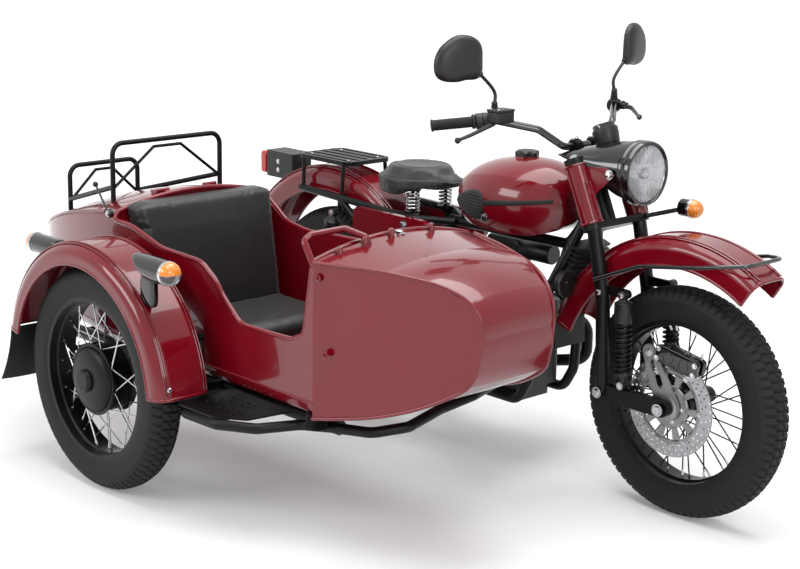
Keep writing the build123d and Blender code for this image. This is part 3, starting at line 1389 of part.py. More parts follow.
with BuildPart() as trunk_rack:
    for along, half, top in ((front_hoop_share, front_hoop_half, front_hoop_top),
                             (rear_hoop_share, rear_hoop_half, rear_hoop_top)):
        x = hull_x(along)
        base = deck_top(along) - hoop_foot_sink
        tube([(x, hull_y - half, base), (x, hull_y - half, top), (x, hull_y + half, top), (x, hull_y + half, base)],
             hoop_corner, hoop_tube_radius)
        for out in both_sides(1):
            rod((x, hull_y + out * half, deck_top(along) + hoop_foot_sink / 3),
                (x, hull_y + out * half / 4, top - brace_apex_drop), brace_radius)
        rod((x, hull_y - half / 4, top - brace_apex_drop), (x, hull_y + half / 4, top - brace_apex_drop), brace_radius)
    for out in both_sides(1):
        rod((hull_x(front_hoop_share), hull_y + out * front_hoop_half, deck_top(front_hoop_share) + runner_rise),
            (hull_x(rear_hoop_share), hull_y + out * rear_hoop_half, deck_top(rear_hoop_share) + runner_rise),
            hoop_tube_radius)
    hull_form(tail_shares, -fit_gap, mode=Mode.SUBTRACT)
finish(trunk_rack.part, "trunk_rack")

# Seat: a cushion on the floor and a back that leans on the bulkhead
seat_half = 270.0
cushion_half = 236.0
cushion_height = 104.0
cushion_length = 330.0
cushion_round = 22.0
back_thickness = 64.0
back_rise = 30.0
floor_height = deck_height * tail_shares[-1][2] + hull_wall


def on_bulkhead(height, ahead):
    """A place on the bulkhead's front face at a height, or ahead of it."""
    part = 1 - height / deck_height
    return (hull_x(bulkhead_top_share) + bulkhead_thickness + part * (hull_x(bulkhead_foot_share)
            - hull_x(bulkhead_top_share)) + ahead, height)


with BuildPart() as seat_back:
    foot_z = floor_height + bilge_radius
    side_cut([on_bulkhead(foot_z, fit_gap), on_bulkhead(deck_height, fit_gap),
              (on_bulkhead(deck_height, fit_gap)[0], deck_height + back_rise),
              on_bulkhead(deck_height + back_rise, back_thickness), on_bulkhead(foot_z, back_thickness)],
             hull_y + seat_half, 2 * seat_half, mode=Mode.ADD)
finish(seat_back.part, "seat_back")

cushion_rear = on_bulkhead(floor_height, back_thickness)[0] + 2 * fit_gap

with BuildPart() as seat_cushion:
    with BuildSketch(Plane.XY.offset(floor_height + fit_gap)):
        with Locations((cushion_rear + cushion_length / 2, hull_y)):
            RectangleRounded(cushion_length, 2 * cushion_half, cushion_round)
    extrude(amount=cushion_height)
    fillet(faces().sort_by(Axis.Z)[-1].edges(), radius=cushion_round)
finish(seat_cushion.part, "seat_cushion")

# Grab rail: from the side of the cowl up, back and across to the deck
grab_radius = 9.0
grab_bend_radius = 16.0
grab_shares = [(0.749, -0.97, -0.10), (0.731, -0.97, 0.62), (0.733, -0.90, 0.82), (0.741, -0.55, 0.90),
               (0.764, -0.43, 0.62), (0.772, -0.38, -0.40)]
grab_height = 76.0

with BuildPart() as grab_rail:
    tube([(hull_x(along), hull_y + across * hull_half_width, deck_height + up * grab_height)
          for along, across, up in grab_shares], grab_bend_radius, grab_radius)
    add(nose_form(-fit_gap), mode=Mode.SUBTRACT)
    extrude(hull_section(*tail_shares[-1], -fit_gap), amount=tub_length, mode=Mode.SUBTRACT)
finish(grab_rail.part, "grab_rail")

# Perimeter tube of the sidecar's frame: round the step, along the hull's foot and under its nose to the
# motorcycle's cradle, from shares of the hull's length and half width
perimeter_radius = 15.0
perimeter_bend_radius = 44.0
perimeter_height = 325.0
perimeter_climb = 36.0
perimeter_shares = [  # along, across, climb
    (0.546, -0.65, 0.0), (0.546, -1.435, 0.0), (0.628, -1.42, 0.0), (0.678, -1.22, 0.0), (0.706, -0.86, 0.1),
    (0.745, -0.72, 0.2), (0.803, -0.58, 0.35), (0.822, -0.25, 0.5), (0.803, 0.28, 0.75), (0.797, 0.75, 0.95)]
cradle_low = frame_points(cradle_shares, -1)[3]
cradle_mid = frame_points(cradle_shares, -1)[2]


def on_tube(low, high, height):
    """The place at a height on a straight tube between two points."""
    return low + (high - low) * ((height - low.Z) / (high.Z - low.Z))


perimeter_end = on_tube(cradle_low, cradle_mid, perimeter_height + perimeter_climb)
perimeter_points = [Vector(hull_x(along), hull_y + across * hull_half_width, perimeter_height + climb * perimeter_climb)
                    for along, across, climb in perimeter_shares] + [perimeter_end]

# Sidecar frame: two runners under the hull, cross tubes, struts to the motorcycle, and a trailing arm for
# the sidecar's wheel with the axle in its end
runner_radius = 21.0
runner_offset = 195.0
runner_height = 330.0
runner_front_share = 0.752
runner_rear_share = 0.100
cross_radius = 16.0
cross_shares = (0.130, 0.330, 0.600)
mount_radius = 24.0
mount_shares = (0.28, 0.45, 0.70)
step_bar_radius = 11.0
step_bar_share = 0.610
trail_arm_offset = 86.0
trail_arm_radius = 16.0
trail_boss_radius = 27.0
trail_boss_half = 18.0
trail_pivot_share = 0.500
trail_pivot_radius = 20.0
trail_shock_ahead = 46.0
trail_shock_offset = 93.0
trail_shock_rise = 232.0
riser_post_back = 62.0
riser_post_offset = 121.0
riser_post_radius = 9.0
post_bend_radius = 12.0
stay_boss_radius = 12.0
stay_radius = 9.0
stay_bend_radius = 20.0
stay_reach_share = 0.82
strut_radius = 15.0
strut_bend_radius = 34.0
front_post_share = 0.80
stay_hold_radius = sidecar_fender_radius - sidecar_fender_skirt / 2
hull_floor = deck_height * tail_shares[-1][2]
fender_inner_y = sidecar_wheel_y + sidecar_fender_half
trail_pivot = Vector(hull_x(trail_pivot_share), sidecar_wheel_y + trail_arm_offset, runner_height)
trail_end = sidecar_axle + LEFT * trail_arm_offset
trail_shock_foot = sidecar_axle + Vector(trail_shock_ahead, trail_shock_offset, trail_arm_radius
                                         + shock_eye_radius + fit_gap)
trail_shock_top = trail_shock_foot + UP * trail_shock_rise
post_foot = Vector(trail_shock_top.X - riser_post_back, sidecar_wheel_y + riser_post_offset, runner_height)
post_top = Vector(post_foot.X, post_foot.Y, trail_shock_top.Z)

with BuildPart() as sidecar_frame:
    for out in both_sides(1):
        y = hull_y + out * runner_offset
        rod((hull_x(runner_rear_share), y, runner_height), (hull_x(runner_front_share), y, runner_height),
            runner_radius)
        for along in mount_shares:
            rod((hull_x(along), y, runner_height), (hull_x(along), y, hull_floor - fit_gap), mount_radius)
    for along in cross_shares:
        rod((hull_x(along), hull_y - runner_offset, runner_height), (hull_x(along), hull_y + runner_offset,
            runner_height), cross_radius)
    tube(perimeter_points, perimeter_bend_radius, perimeter_radius)
    rod((hull_x(step_bar_share), hull_y - runner_offset, perimeter_height),
        (hull_x(step_bar_share), perimeter_points[1].Y, perimeter_height), step_bar_radius)
    rod((trail_pivot.X, hull_y - runner_offset, runner_height), trail_pivot - LEFT * trail_arm_radius,
        trail_pivot_radius)
    rod(trail_pivot, trail_end, trail_arm_radius)
    rod(trail_end + LEFT * trail_boss_half, trail_end - LEFT * trail_boss_half, trail_boss_radius)
    rod(trail_end, sidecar_axle - LEFT * drum_half_length / 2, axle_radius)
    rod(trail_end, sidecar_axle + LEFT * (drum_half_length + fit_gap), spacer_radius)
    tube([(post_foot.X, hull_y - runner_offset, runner_height), post_foot, post_top,
          (trail_shock_top.X, post_top.Y, post_top.Z),
          (trail_shock_top.X, trail_shock_top.Y + shock_eye_width / 2 + fit_gap, post_top.Z)],
         post_bend_radius, riser_post_radius)
    for reach in (stay_reach_share, -stay_reach_share):
        stay_x = sidecar_axle_x + reach * sidecar_fender_radius
        bend = Vector(stay_x, fender_inner_y + stay_boss_radius + fit_gap, runner_height)
        boss = Vector(bend.X, bend.Y, sidecar_axle.Z + sqrt(stay_hold_radius ** 2 - (stay_x - sidecar_axle_x) ** 2))
        tube([(stay_x, hull_y - runner_offset, runner_height), bend, boss], stay_bend_radius, stay_radius)
        rod(boss + LEFT * stay_radius / 2, boss - LEFT * stay_boss_radius, stay_boss_radius)
    rear_post = frame_points(cradle_shares, -1)[6]
    rod((rear_post.X, hull_y + runner_offset, runner_height), rear_post, strut_radius)
    front_post = on_tube(cradle_mid, frame_points(cradle_shares, -1)[1], front_post_share * wheel_diameter)
    strut_knee = Vector(front_post.X - strut_radius, hull_y + hull_half_width + 3 * strut_radius, runner_height)
    tube([(strut_knee.X, hull_y + runner_offset, runner_height), strut_knee, front_post], strut_bend_radius,
         strut_radius)
    cradle = frame_points(cradle_shares, -1)
    tube(cradle, frame_bend_radius, frame_tube_radius + fit_gap, mode=Mode.SUBTRACT)
finish(sidecar_frame.part, "sidecar_frame")

with BuildPart() as shocks:
    for left in both_sides(rear_shock_half):
        make_shock(rear_shock_foot + LEFT * left, rear_shock_top + LEFT * left)
    make_shock(trail_shock_foot, trail_shock_top)
finish(shocks.part, "shocks")

# Step: a perforated plate on the perimeter tube and its bars
step_thickness = 5.0
step_hole_radius = 6.0
step_hole_pitch = 24.0
step_corner = 15.0
step_hole_counts = (7, 5)
step_hole_share = (0.598, -1.10)
step_shares = [  # along, across
    (0.541, -1.44), (0.622, -1.43), (0.662, -1.24), (0.672, -0.76), (0.541, -0.76)]
step_height = perimeter_height + perimeter_radius + fit_gap

with BuildPart() as step_plate:
    with BuildSketch(Plane.XY.offset(step_height)):
        with BuildLine():
            FilletPolyline(*[(hull_x(along), hull_y + across * hull_half_width) for along, across in step_shares],
                           radius=step_corner, close=True)
        make_face()
        with Locations((hull_x(step_hole_share[0]), hull_y + step_hole_share[1] * hull_half_width)):
            with GridLocations(step_hole_pitch, step_hole_pitch, *step_hole_counts):
                Circle(step_hole_radius, mode=Mode.SUBTRACT)
    extrude(amount=step_thickness)
finish(step_plate.part, "step_plate")

# Sidecar turn signals: one on the fender's crown facing forward, one behind it
side_signal_radius = 27.0
side_signal_lens = 42.0
rear_lamp_share = 0.8
front_lamp_start = 222.0
front_lamp_length = 200.0
front_lamp_drop = 50.0
front_lamp_rise = 393.0
rear_lamp_start = 236.0
rear_lamp_length = 122.0
rear_lamp_rise = 345.0
front_lamp_root = sidecar_axle + Vector(front_lamp_start, -front_lamp_drop, front_lamp_rise)
front_lamp_end = front_lamp_root + FORWARD * front_lamp_length
rear_lamp_root = sidecar_axle + Vector(-rear_lamp_start + side_signal_radius, 0, rear_lamp_rise)
rear_lamp_end = sidecar_axle + Vector(-rear_lamp_start - rear_lamp_length, 0, rear_lamp_rise)

with BuildPart() as sidecar_signals:
    rod(front_lamp_root - FORWARD * side_signal_radius, front_lamp_end, side_signal_radius)
    rod(front_lamp_root, front_lamp_root - UP * sidecar_fender_radius / 3, side_signal_radius / 2)
    rod(rear_lamp_root, rear_lamp_end, side_signal_radius * rear_lamp_share)
    turned(sidecar_axle, [(-cut_overrun, 0), (-cut_overrun, sidecar_fender_radius + fit_gap),
                          (cut_overrun, sidecar_fender_radius + fit_gap), (cut_overrun, 0)], mode=Mode.SUBTRACT)
finish(sidecar_signals.part, "sidecar_signals")

with BuildPart() as sidecar_lenses:
    rod(front_lamp_end + FORWARD * fit_gap, front_lamp_end + FORWARD * side_signal_lens, side_signal_radius)
    rod(rear_lamp_end - FORWARD * fit_gap, rear_lamp_end - FORWARD * side_signal_lens, side_signal_radius)
finish(sidecar_lenses.part, "sidecar_lenses")
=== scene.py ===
# %% [markdown]
# A motorcycle with a sidecar, dressed around a fixed model
#
# The solids come from a CAD model that is loaded as a fixed frame, in metres: X points forward, Y to the
# left and Z up, with the floor at zero. This lesson gives every solid a finish, and stands finer surfaces
# in for the ones that carry the look: tyres with tread, laced spokes, coil springs, padded seats. Each new
# surface is a formula on a grid of numbers, so a change of one value changes the whole shape.

import bmesh
import bpy
import numpy as np
from mathutils import Matrix, Vector
from mathutils.bvhtree import BVHTree


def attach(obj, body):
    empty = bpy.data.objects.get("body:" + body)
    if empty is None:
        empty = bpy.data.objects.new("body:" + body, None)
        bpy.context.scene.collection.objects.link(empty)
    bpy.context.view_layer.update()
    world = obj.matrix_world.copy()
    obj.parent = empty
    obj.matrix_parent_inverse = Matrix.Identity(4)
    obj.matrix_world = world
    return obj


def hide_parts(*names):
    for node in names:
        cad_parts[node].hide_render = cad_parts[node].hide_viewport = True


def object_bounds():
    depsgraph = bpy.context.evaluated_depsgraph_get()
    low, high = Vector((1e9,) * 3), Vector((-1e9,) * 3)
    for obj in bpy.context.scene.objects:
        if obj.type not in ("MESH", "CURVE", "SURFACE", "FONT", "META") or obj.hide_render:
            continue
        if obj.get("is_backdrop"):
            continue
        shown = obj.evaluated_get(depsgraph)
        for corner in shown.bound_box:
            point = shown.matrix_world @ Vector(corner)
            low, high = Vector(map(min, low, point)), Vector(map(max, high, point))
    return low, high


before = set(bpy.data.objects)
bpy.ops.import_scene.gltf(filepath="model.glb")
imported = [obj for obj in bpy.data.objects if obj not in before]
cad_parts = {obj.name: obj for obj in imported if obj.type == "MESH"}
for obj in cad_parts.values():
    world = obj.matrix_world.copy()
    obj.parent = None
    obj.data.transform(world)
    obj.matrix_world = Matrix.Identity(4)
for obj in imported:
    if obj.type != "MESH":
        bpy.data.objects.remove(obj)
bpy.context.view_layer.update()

# %% [markdown]
# The camera
#
# A photograph has one eye, one direction and one lens. These three were fitted to the wheels' circles and
# to the floor contacts, so that the render can be laid beside the picture. The roll is small but real.

# %% Camera
camera_place = Vector((3.6445, -3.3819, 1.7917))
camera_yaw, camera_pitch, camera_roll = np.radians([46.80, 13.64, 1.0])
camera_lens, camera_sensor = 75.87, 36.0

look = Vector((-np.sin(camera_yaw) * np.cos(camera_pitch), np.cos(camera_yaw) * np.cos(camera_pitch),
               -np.sin(camera_pitch)))
level = Vector((np.cos(camera_yaw), np.sin(camera_yaw), 0))
upright = level.cross(look)
tilted_right = level * np.cos(camera_roll) + upright * np.sin(camera_roll)
tilted_up = upright * np.cos(camera_roll) - level * np.sin(camera_roll)
camera = bpy.data.objects.new("camera", bpy.data.cameras.new("camera"))
camera.data.lens, camera.data.sensor_width = camera_lens, camera_sensor
camera.matrix_world = Matrix.Translation(camera_place) @ Matrix(
    (tilted_right, tilted_up, -look)).transposed().to_4x4()
bpy.context.scene.collection.objects.link(camera)
bpy.context.scene.camera = camera

# %% [markdown]
# Making a mesh from arrays
#
# Every new part is a pair: an array of points and a list of faces. A grid of points is joined into squares
# by index arithmetic, which is the same for a tyre, a tube or a mirror. One function turns the parts of a
# piece into one mesh, merges the points that meet at seams and poles, and turns all faces outwards.

# %% Grids, lathes and tubes
def grid_part(points, wrap_rows=False, wrap_columns=False, cap=False):
    """Squares between neighbours of a rows x columns grid; wrapping joins the last to the first, and a cap
    closes the first and the last row with one face each."""
    rows, columns = points.shape[:2]
    index = np.arange(rows * columns).reshape(rows, columns)
    if wrap_rows:
        index = np.vstack([index, index[:1]])
    if wrap_columns:
        index = np.hstack([index, index[:, :1]])
    squares = np.stack([index[:-1, :-1], index[1:, :-1], index[1:, 1:], index[:-1, 1:]], -1).reshape(-1, 4)
    faces = squares.tolist()
    if cap:
        faces += [list(range(columns)), list(range((rows - 1) * columns, rows * columns))]
    return points.reshape(-1, 3), faces


def joined(*parts):
    """Several parts as one: each part's face numbers grow by the count of the points before it."""
    points, faces, offset = [], [], 0
    for part_points, part_faces in parts:
        points.append(part_points)
        faces += [[i + offset for i in face] for face in part_faces]
        offset += len(part_points)
    return np.vstack(points), faces


def axes_of(direction):
    """Two unit directions square to one direction."""
    along = np.array(direction, float) / np.linalg.norm(direction)
    helper = np.array([0.0, 0.0, 1.0]) if abs(along[2]) < 0.9 else np.array([1.0, 0.0, 0.0])
    side = np.cross(helper, along)
    side /= np.linalg.norm(side)
    return along, side, np.cross(along, side)


def lathe(origin, direction, profile, count=64, ring=False):
    """A profile of (along, radius) carried round a line: point = origin + along * axis + radius * (cos, sin).
    A ring's profile is closed on itself."""
    along, side, other = axes_of(direction)
    profile = np.array(profile, float)
    turn = np.linspace(0, 2 * np.pi, count, endpoint=False)
    spoke = np.cos(turn)[:, None] * side + np.sin(turn)[:, None] * other
    points = np.array(origin, float) + profile[None, :, :1] * along + profile[None, :, 1:] * spoke[:, None, :]
    return grid_part(points, wrap_rows=True, wrap_columns=ring)


def sweep(path, radius, sides=12, closed=False):
    """A round tube: at each point of the path a circle stands square to the path's direction there. The
    circle's own start is carried on from one point to the next, so that the tube doesn't twist."""
    path = np.array(path, float)
    tangent = np.gradient(path, axis=0)
    if closed:
        tangent = np.roll(path, -1, 0) - np.roll(path, 1, 0)
    tangent /= np.linalg.norm(tangent, axis=1)[:, None]
    side = np.zeros_like(path)
    side[0] = axes_of(tangent[0])[1]
    for i in range(1, len(path)):
        carried = side[i - 1] - tangent[i] * (side[i - 1] @ tangent[i])
        side[i] = carried / np.linalg.norm(carried)
    other = np.cross(tangent, side)
    turn = np.linspace(0, 2 * np.pi, sides, endpoint=False)
    radius = np.broadcast_to(np.asarray(radius, float), len(path))[:, None, None]
    points = path[:, None] + radius * (np.cos(turn)[None, :, None] * side[:, None]
                                       + np.sin(turn)[None, :, None] * other[:, None])
    return grid_part(points, wrap_rows=closed, wrap_columns=True, cap=not closed)


def smooth_path(points, steps=8):
    """A Catmull-Rom curve through the points: each stretch leans on the points before and after it."""
    points = np.array(points, float)
    ends = np.vstack([2 * points[0] - points[1], points, 2 * points[-1] - points[-2]])
    before, start, stop, after = (ends[k:len(ends) - 3 + k][:, None] for k in range(4))
    t = np.linspace(0, 1, steps, endpoint=False)[None, :, None]
    curve = 0.5 * (2 * start + (stop - before) * t + (2 * before - 5 * start + 4 * stop - after) * t ** 2
                   + (3 * start - before - 3 * stop + after) * t ** 3)
    return np.vstack([curve.reshape(-1, 3), points[-1:]])


def pillow(centre, half, power=4.0, rows=16, columns=28):
    """A rounded block: a sphere whose cosines and sines are raised to 2/power, so a high power is boxy."""
    lat = np.linspace(-np.pi / 2, np.pi / 2, rows)[:, None]
    lon = np.linspace(0, 2 * np.pi, columns, endpoint=False)[None]
    shaped = lambda v: np.sign(v) * np.abs(v) ** (2 / power)
    points = np.stack([shaped(np.cos(lat)) * shaped(np.cos(lon)), shaped(np.cos(lat)) * shaped(np.sin(lon)),
                       shaped(np.sin(lat)) * np.ones_like(lon)], -1)
    return grid_part(np.array(centre) + points * np.array(half), wrap_columns=True)


def bolt(place, direction, radius=0.007, height=0.005):
    """A six-sided head with a bevelled top, standing on a thin washer."""
    head = lathe(place, direction, [(0, 0), (0, radius), (height * 0.8, radius), (height, radius * 0.82),
                                    (height, 0)], 6)
    washer = lathe(place, direction, [(-0.001, 0), (-0.001, radius * 1.4), (0.001, radius * 1.4), (0.001, 0)], 20)
    return joined(head, washer)


merge_distance = 1e-6
sharp_angle = np.radians(38)


def piece(name, part, material, body, replaces=(), outward=True):
    """One finished mesh: merged, turned outwards, smooth up to a sharp angle, and riding on its body."""
    mesh = bpy.data.meshes.new(name)
    mesh.from_pydata(part[0].tolist(), [], part[1])
    work = bmesh.new()
    work.from_mesh(mesh)
    bmesh.ops.remove_doubles(work, verts=work.verts, dist=merge_distance)
    if outward:
        bmesh.ops.recalc_face_normals(work, faces=work.faces)
    work.to_mesh(mesh)
    work.free()
    mesh.shade_smooth()
    mesh.set_sharp_from_angle(angle=sharp_angle)
    mesh.materials.append(material)
    made = bpy.data.objects.new(name, mesh)
    bpy.context.scene.collection.objects.link(made)
    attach(made, body)
    if replaces:
        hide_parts(*replaces)
    return made


# %% [markdown]
# Finishes
#
# A real finish is never one flat value. Paint has a faint waviness, powder coat has a fine orange peel, and
# rubber is dusty in patches. Each finish below is one shader with two noises: a patchy one bends the colour
# and the roughness a little, and a fine one the surface. Object coordinates are metres, so sizes are real.

# %% One function for the finishes
def finish_of(name, colour, shade=0.82, rough=0.4, rough_spread=0.08, patch=9.0, grain=900.0, bump=0.0,
              **sockets):
    """Principled shader: the colour runs down to a shade of itself by a patchy noise, the roughness varies
    round its value, and a fine grain bumps the surface."""
    material = bpy.data.materials.new(name)
    material.use_nodes = True
    nodes, links = material.node_tree.nodes, material.node_tree.links
    shader = nodes["Principled BSDF"]
    place = nodes.new("ShaderNodeTexCoord")
    patches = nodes.new("ShaderNodeTexNoise")
    patches.inputs["Scale"].default_value = patch
    patches.inputs["Detail"].default_value = 5.0
    links.new(place.outputs["Object"], patches.inputs["Vector"])
    ramp = nodes.new("ShaderNodeValToRGB")
    ramp.color_ramp.elements[0].position, ramp.color_ramp.elements[1].position = 0.3, 0.7
    ramp.color_ramp.elements[0].color = (*[c * shade for c in colour], 1)
    ramp.color_ramp.elements[1].color = (*colour, 1)
    links.new(patches.outputs["Fac"], ramp.inputs["Fac"])
    links.new(ramp.outputs["Color"], shader.inputs["Base Color"])
    spread = nodes.new("ShaderNodeMapRange")
    spread.inputs["To Min"].default_value = max(0.02, rough - rough_spread)
    spread.inputs["To Max"].default_value = rough + rough_spread
    links.new(patches.outputs["Fac"], spread.inputs["Value"])
    links.new(spread.outputs["Result"], shader.inputs["Roughness"])
    if bump:
        fine = nodes.new("ShaderNodeTexNoise")
        fine.inputs["Scale"].default_value = grain
        fine.inputs["Detail"].default_value = 2.0
        links.new(place.outputs["Object"], fine.inputs["Vector"])
        relief = nodes.new("ShaderNodeBump")
        relief.inputs["Strength"].default_value = 0.5
        relief.inputs["Distance"].default_value = bump
        links.new(fine.outputs["Fac"], relief.inputs["Height"])
        links.new(relief.outputs["Normal"], shader.inputs["Normal"])
    for socket, value in sockets.items():
        shader.inputs[socket.replace("_", " ")].default_value = value
    return material


red_paint = finish_of("cherry_gloss_paint", (0.165, 0.0016, 0.0080), 0.90, 0.22, 0.02, 3.0, 160.0, 0.00005,
                      Coat_Weight=0.85, Coat_Roughness=0.04, Coat_IOR=1.42, Specular_IOR_Level=0.2)
black_coat = finish_of("black_powder_coat", (0.0050, 0.0050, 0.0056), 0.75, 0.34, 0.06, 12.0, 700.0, 0.0004,
                       Specular_IOR_Level=0.20)
gloss_black = finish_of("gloss_black_enamel", (0.0050, 0.0050, 0.0055), 0.85, 0.12, 0.03, 8.0, 200.0, 0.00005,
                        Coat_Weight=0.5, Coat_Roughness=0.03)
tyre_rubber = finish_of("tyre_rubber", (0.0080, 0.0080, 0.0088), 0.60, 0.66, 0.10, 14.0, 500.0, 0.0005,
                        Specular_IOR_Level=0.30)
soft_rubber = finish_of("moulded_rubber", (0.0100, 0.0100, 0.0108), 0.70, 0.58, 0.08, 20.0, 800.0, 0.0003,
                        Specular_IOR_Level=0.32)
bright_steel = finish_of("bright_steel", (0.62, 0.62, 0.64), 0.86, 0.16, 0.06, 30.0, 500.0, 0.00008, Metallic=1.0)
disc_steel = finish_of("ground_disc_steel", (0.50, 0.50, 0.52), 0.80, 0.30, 0.07, 40.0, 900.0, 0.0001, Metallic=1.0)
cast_alloy = finish_of("cast_alloy", (0.34, 0.34, 0.35), 0.78, 0.42, 0.08, 25.0, 700.0, 0.0005, Metallic=0.85)
engine_black = finish_of("engine_black", (0.0100, 0.0100, 0.0108), 0.65, 0.44, 0.10, 18.0, 450.0, 0.0006,
                         Specular_IOR_Level=0.40)
black_plastic = finish_of("moulded_black_plastic", (0.0085, 0.0085, 0.0092), 0.80, 0.40, 0.06, 15.0, 1100.0, 0.0003,
                          Specular_IOR_Level=0.40)
black_vinyl = finish_of("black_vinyl", (0.0110, 0.0110, 0.0122), 0.75, 0.40, 0.07, 16.0, 420.0, 0.0009,
                        Sheen_Weight=0.10, Specular_IOR_Level=0.42)
dial_white = finish_of("dial_white", (0.70, 0.70, 0.68), 0.95, 0.5, 0.05, 30.0)
amber_lens = finish_of("amber_lens", (0.85, 0.26, 0.02), 0.85, 0.12, 0.03, 40.0, 300.0, 0.0002, Coat_Weight=0.6)
red_lens = finish_of("red_lens", (0.50, 0.008, 0.012), 0.85, 0.12, 0.03, 40.0, 300.0, 0.0002, Coat_Weight=0.6)
clear_glass = finish_of("clear_lens_glass", (0.96, 0.97, 0.98), 0.98, 0.03, 0.01, 20.0, 120.0, 0.0006,
                        Transmission_Weight=0.95, IOR=1.45)
lamp_bowl = finish_of("lamp_bowl_silver", (0.42, 0.42, 0.44), 0.8, 0.16, 0.05, 30.0, Metallic=1.0)
mirror_glass = finish_of("mirror_glass", (0.78, 0.80, 0.82), 0.97, 0.03, 0.01, 10.0, Metallic=1.0)

finishes = {
    red_paint: ["front_fender", "rear_fender", "sidecar_fender", "fork_shrouds", "fuel_tank", "side_covers",
                "hull_tail", "hull_tub", "hull_nose", "trunk_lid", "grab_rail"],
    gloss_black: ["headlight_shell", "fender_hoop", "handlebar", "sidecar_signals", "front_signal"],
    black_coat: ["fork", "main_frame", "swing_arm", "exhaust", "rear_rack", "trunk_rack", "sidecar_frame",
                 "step_plate"],
    engine_black: ["crankcase", "cylinders"],
    black_plastic: ["speedometer", "tail_bracket"],
    soft_rubber: ["front_flap", "sidecar_flap"],
}
for material, names in finishes.items():
    for node_name in names:
        node_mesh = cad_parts[node_name].data
        node_mesh.materials.clear()
        node_mesh.materials.append(material)
print("finishes:", len(bpy.data.materials))

# %% [markdown]
# Tyres
#
# The tread is blocks cut by grooves, and the sidewall is smooth with two ribs. The section runs from bead to
# bead, and its points are moved in where a groove lies. The height of a block is a product of soft steps,
# some along the grooves round the tyre and some across it. A bump map would look flat at the tyre's edge,
# where the blocks stand against the background.

# %% Tyres
bike_middle, sidecar_middle, axle_height = 0.3845, -0.7455, 0.338
axles = {"front": np.array([0.836, bike_middle, axle_height]),
         "rear": np.array([-0.660, bike_middle, axle_height]),
         "sidecar": np.array([-0.429, sidecar_middle, axle_height])}
tread_blocks = 78
steps_per_block = 11
groove_depth = 0.0065


def soft_step(distance, width):
    """0 inside a groove and 1 on a block, with a slope between them of a given width."""
    t = np.clip(distance / width, 0, 1)
    return t * t * (3 - 2 * t)


def tyre_part(axle):
    """Section x turn grid. Crown and shoulder follow one ellipse; block height is removed in the grooves."""
    bead, belly = np.array([0.0397, 0.2354]), np.array([0.0538, 0.292])
    side_turn = np.linspace(0, 1, 12)[:, None]
    wall = ((1 - side_turn) ** 2 * bead + 2 * side_turn * (1 - side_turn) * np.array([0.0555, 0.252])
            + side_turn ** 2 * belly)
    lean = np.linspace(0, np.pi / 2, 25)[1:]
    crown = np.stack([0.0538 * np.cos(lean) ** 0.86, 0.292 + 0.046 * np.sin(lean) ** 0.92], 1)
    half = np.vstack([wall, crown])
    section = np.vstack([half, half[-2::-1] * [-1, 1]])
    turn = np.linspace(0, 2 * np.pi, tread_blocks * steps_per_block, endpoint=False)
    across, radius = section[:, 0][None], section[:, 1][None]
    share = (turn / (2 * np.pi) * tread_blocks)[:, None]
    zigzag = 0.20 * np.sign(across) * np.abs(across) / 0.05
    shoulder = np.abs(across) > 0.026
    phase = (share + zigzag + np.where(shoulder, 0.5, 0.0)) % 1.0
    block = soft_step(0.5 - np.abs(phase - 0.5) - 0.07, 0.10)
    ring_groove = soft_step(np.abs(np.abs(across) - 0.026) - 0.0012, 0.0028)
    centre_groove = soft_step(np.abs(across - 0.004 * np.sin(2 * np.pi * share)) - 0.0010, 0.0026)
    height = block * ring_groove * centre_groove
    on_tread = soft_step(radius - 0.3105, 0.008)
    rib = 0.0016 * np.exp(-((radius - 0.300) / 0.0022) ** 2) + 0.0014 * np.exp(-((radius - 0.258) / 0.002) ** 2)
    moved = radius - groove_depth * (1 - height) * on_tread + rib * 0.3
    wide = across * (1 + rib * 14)
    points = axle + np.stack([moved * np.cos(turn)[:, None], wide * np.ones_like(moved),
                              moved * np.sin(turn)[:, None]], -1)
    return grid_part(points, wrap_rows=True, wrap_columns=True)


for name, axle in axles.items():
    tyre = piece(name + "_tyre_tread", tyre_part(axle), tyre_rubber, name + "_wheel",
                 [name + "_tyre"])
print("tyre triangles:", 2 * len(tyre.data.polygons))

# %% [markdown]
# Rims, spokes and hubs
#
# A laced wheel has thirty-six thin spokes that leave the hub's two flanges at a slant, half leading and half
# trailing, and end in nipples in the rim's well. One spoke is a thin tube; the lacing only says where each
# of its ends goes. The rim and the hub are turned profiles with small rounded edges.

# %% Rims and spokes
spoke_count = 36
spoke_radius = 0.0021
rim_bed = 0.224
lace_angle = np.radians(34)


def rim_part(axle):
    """The rolled channel as a closed ring profile, given as (across, radius)."""
    half = np.array([(0.018, 0.2245), (0.022, 0.2312), (0.040, 0.2312), (0.0455, 0.2318), (0.0462, 0.2345),
                     (0.0462, 0.2455), (0.0440, 0.2468), (0.0422, 0.2455), (0.0400, 0.2352), (0.022, 0.2352),
                     (0.018, 0.2282)])
    profile = np.vstack([half, (half * [-1, 1])[::-1]])
    return lathe(axle, (0, 1, 0), profile, 160, ring=True)


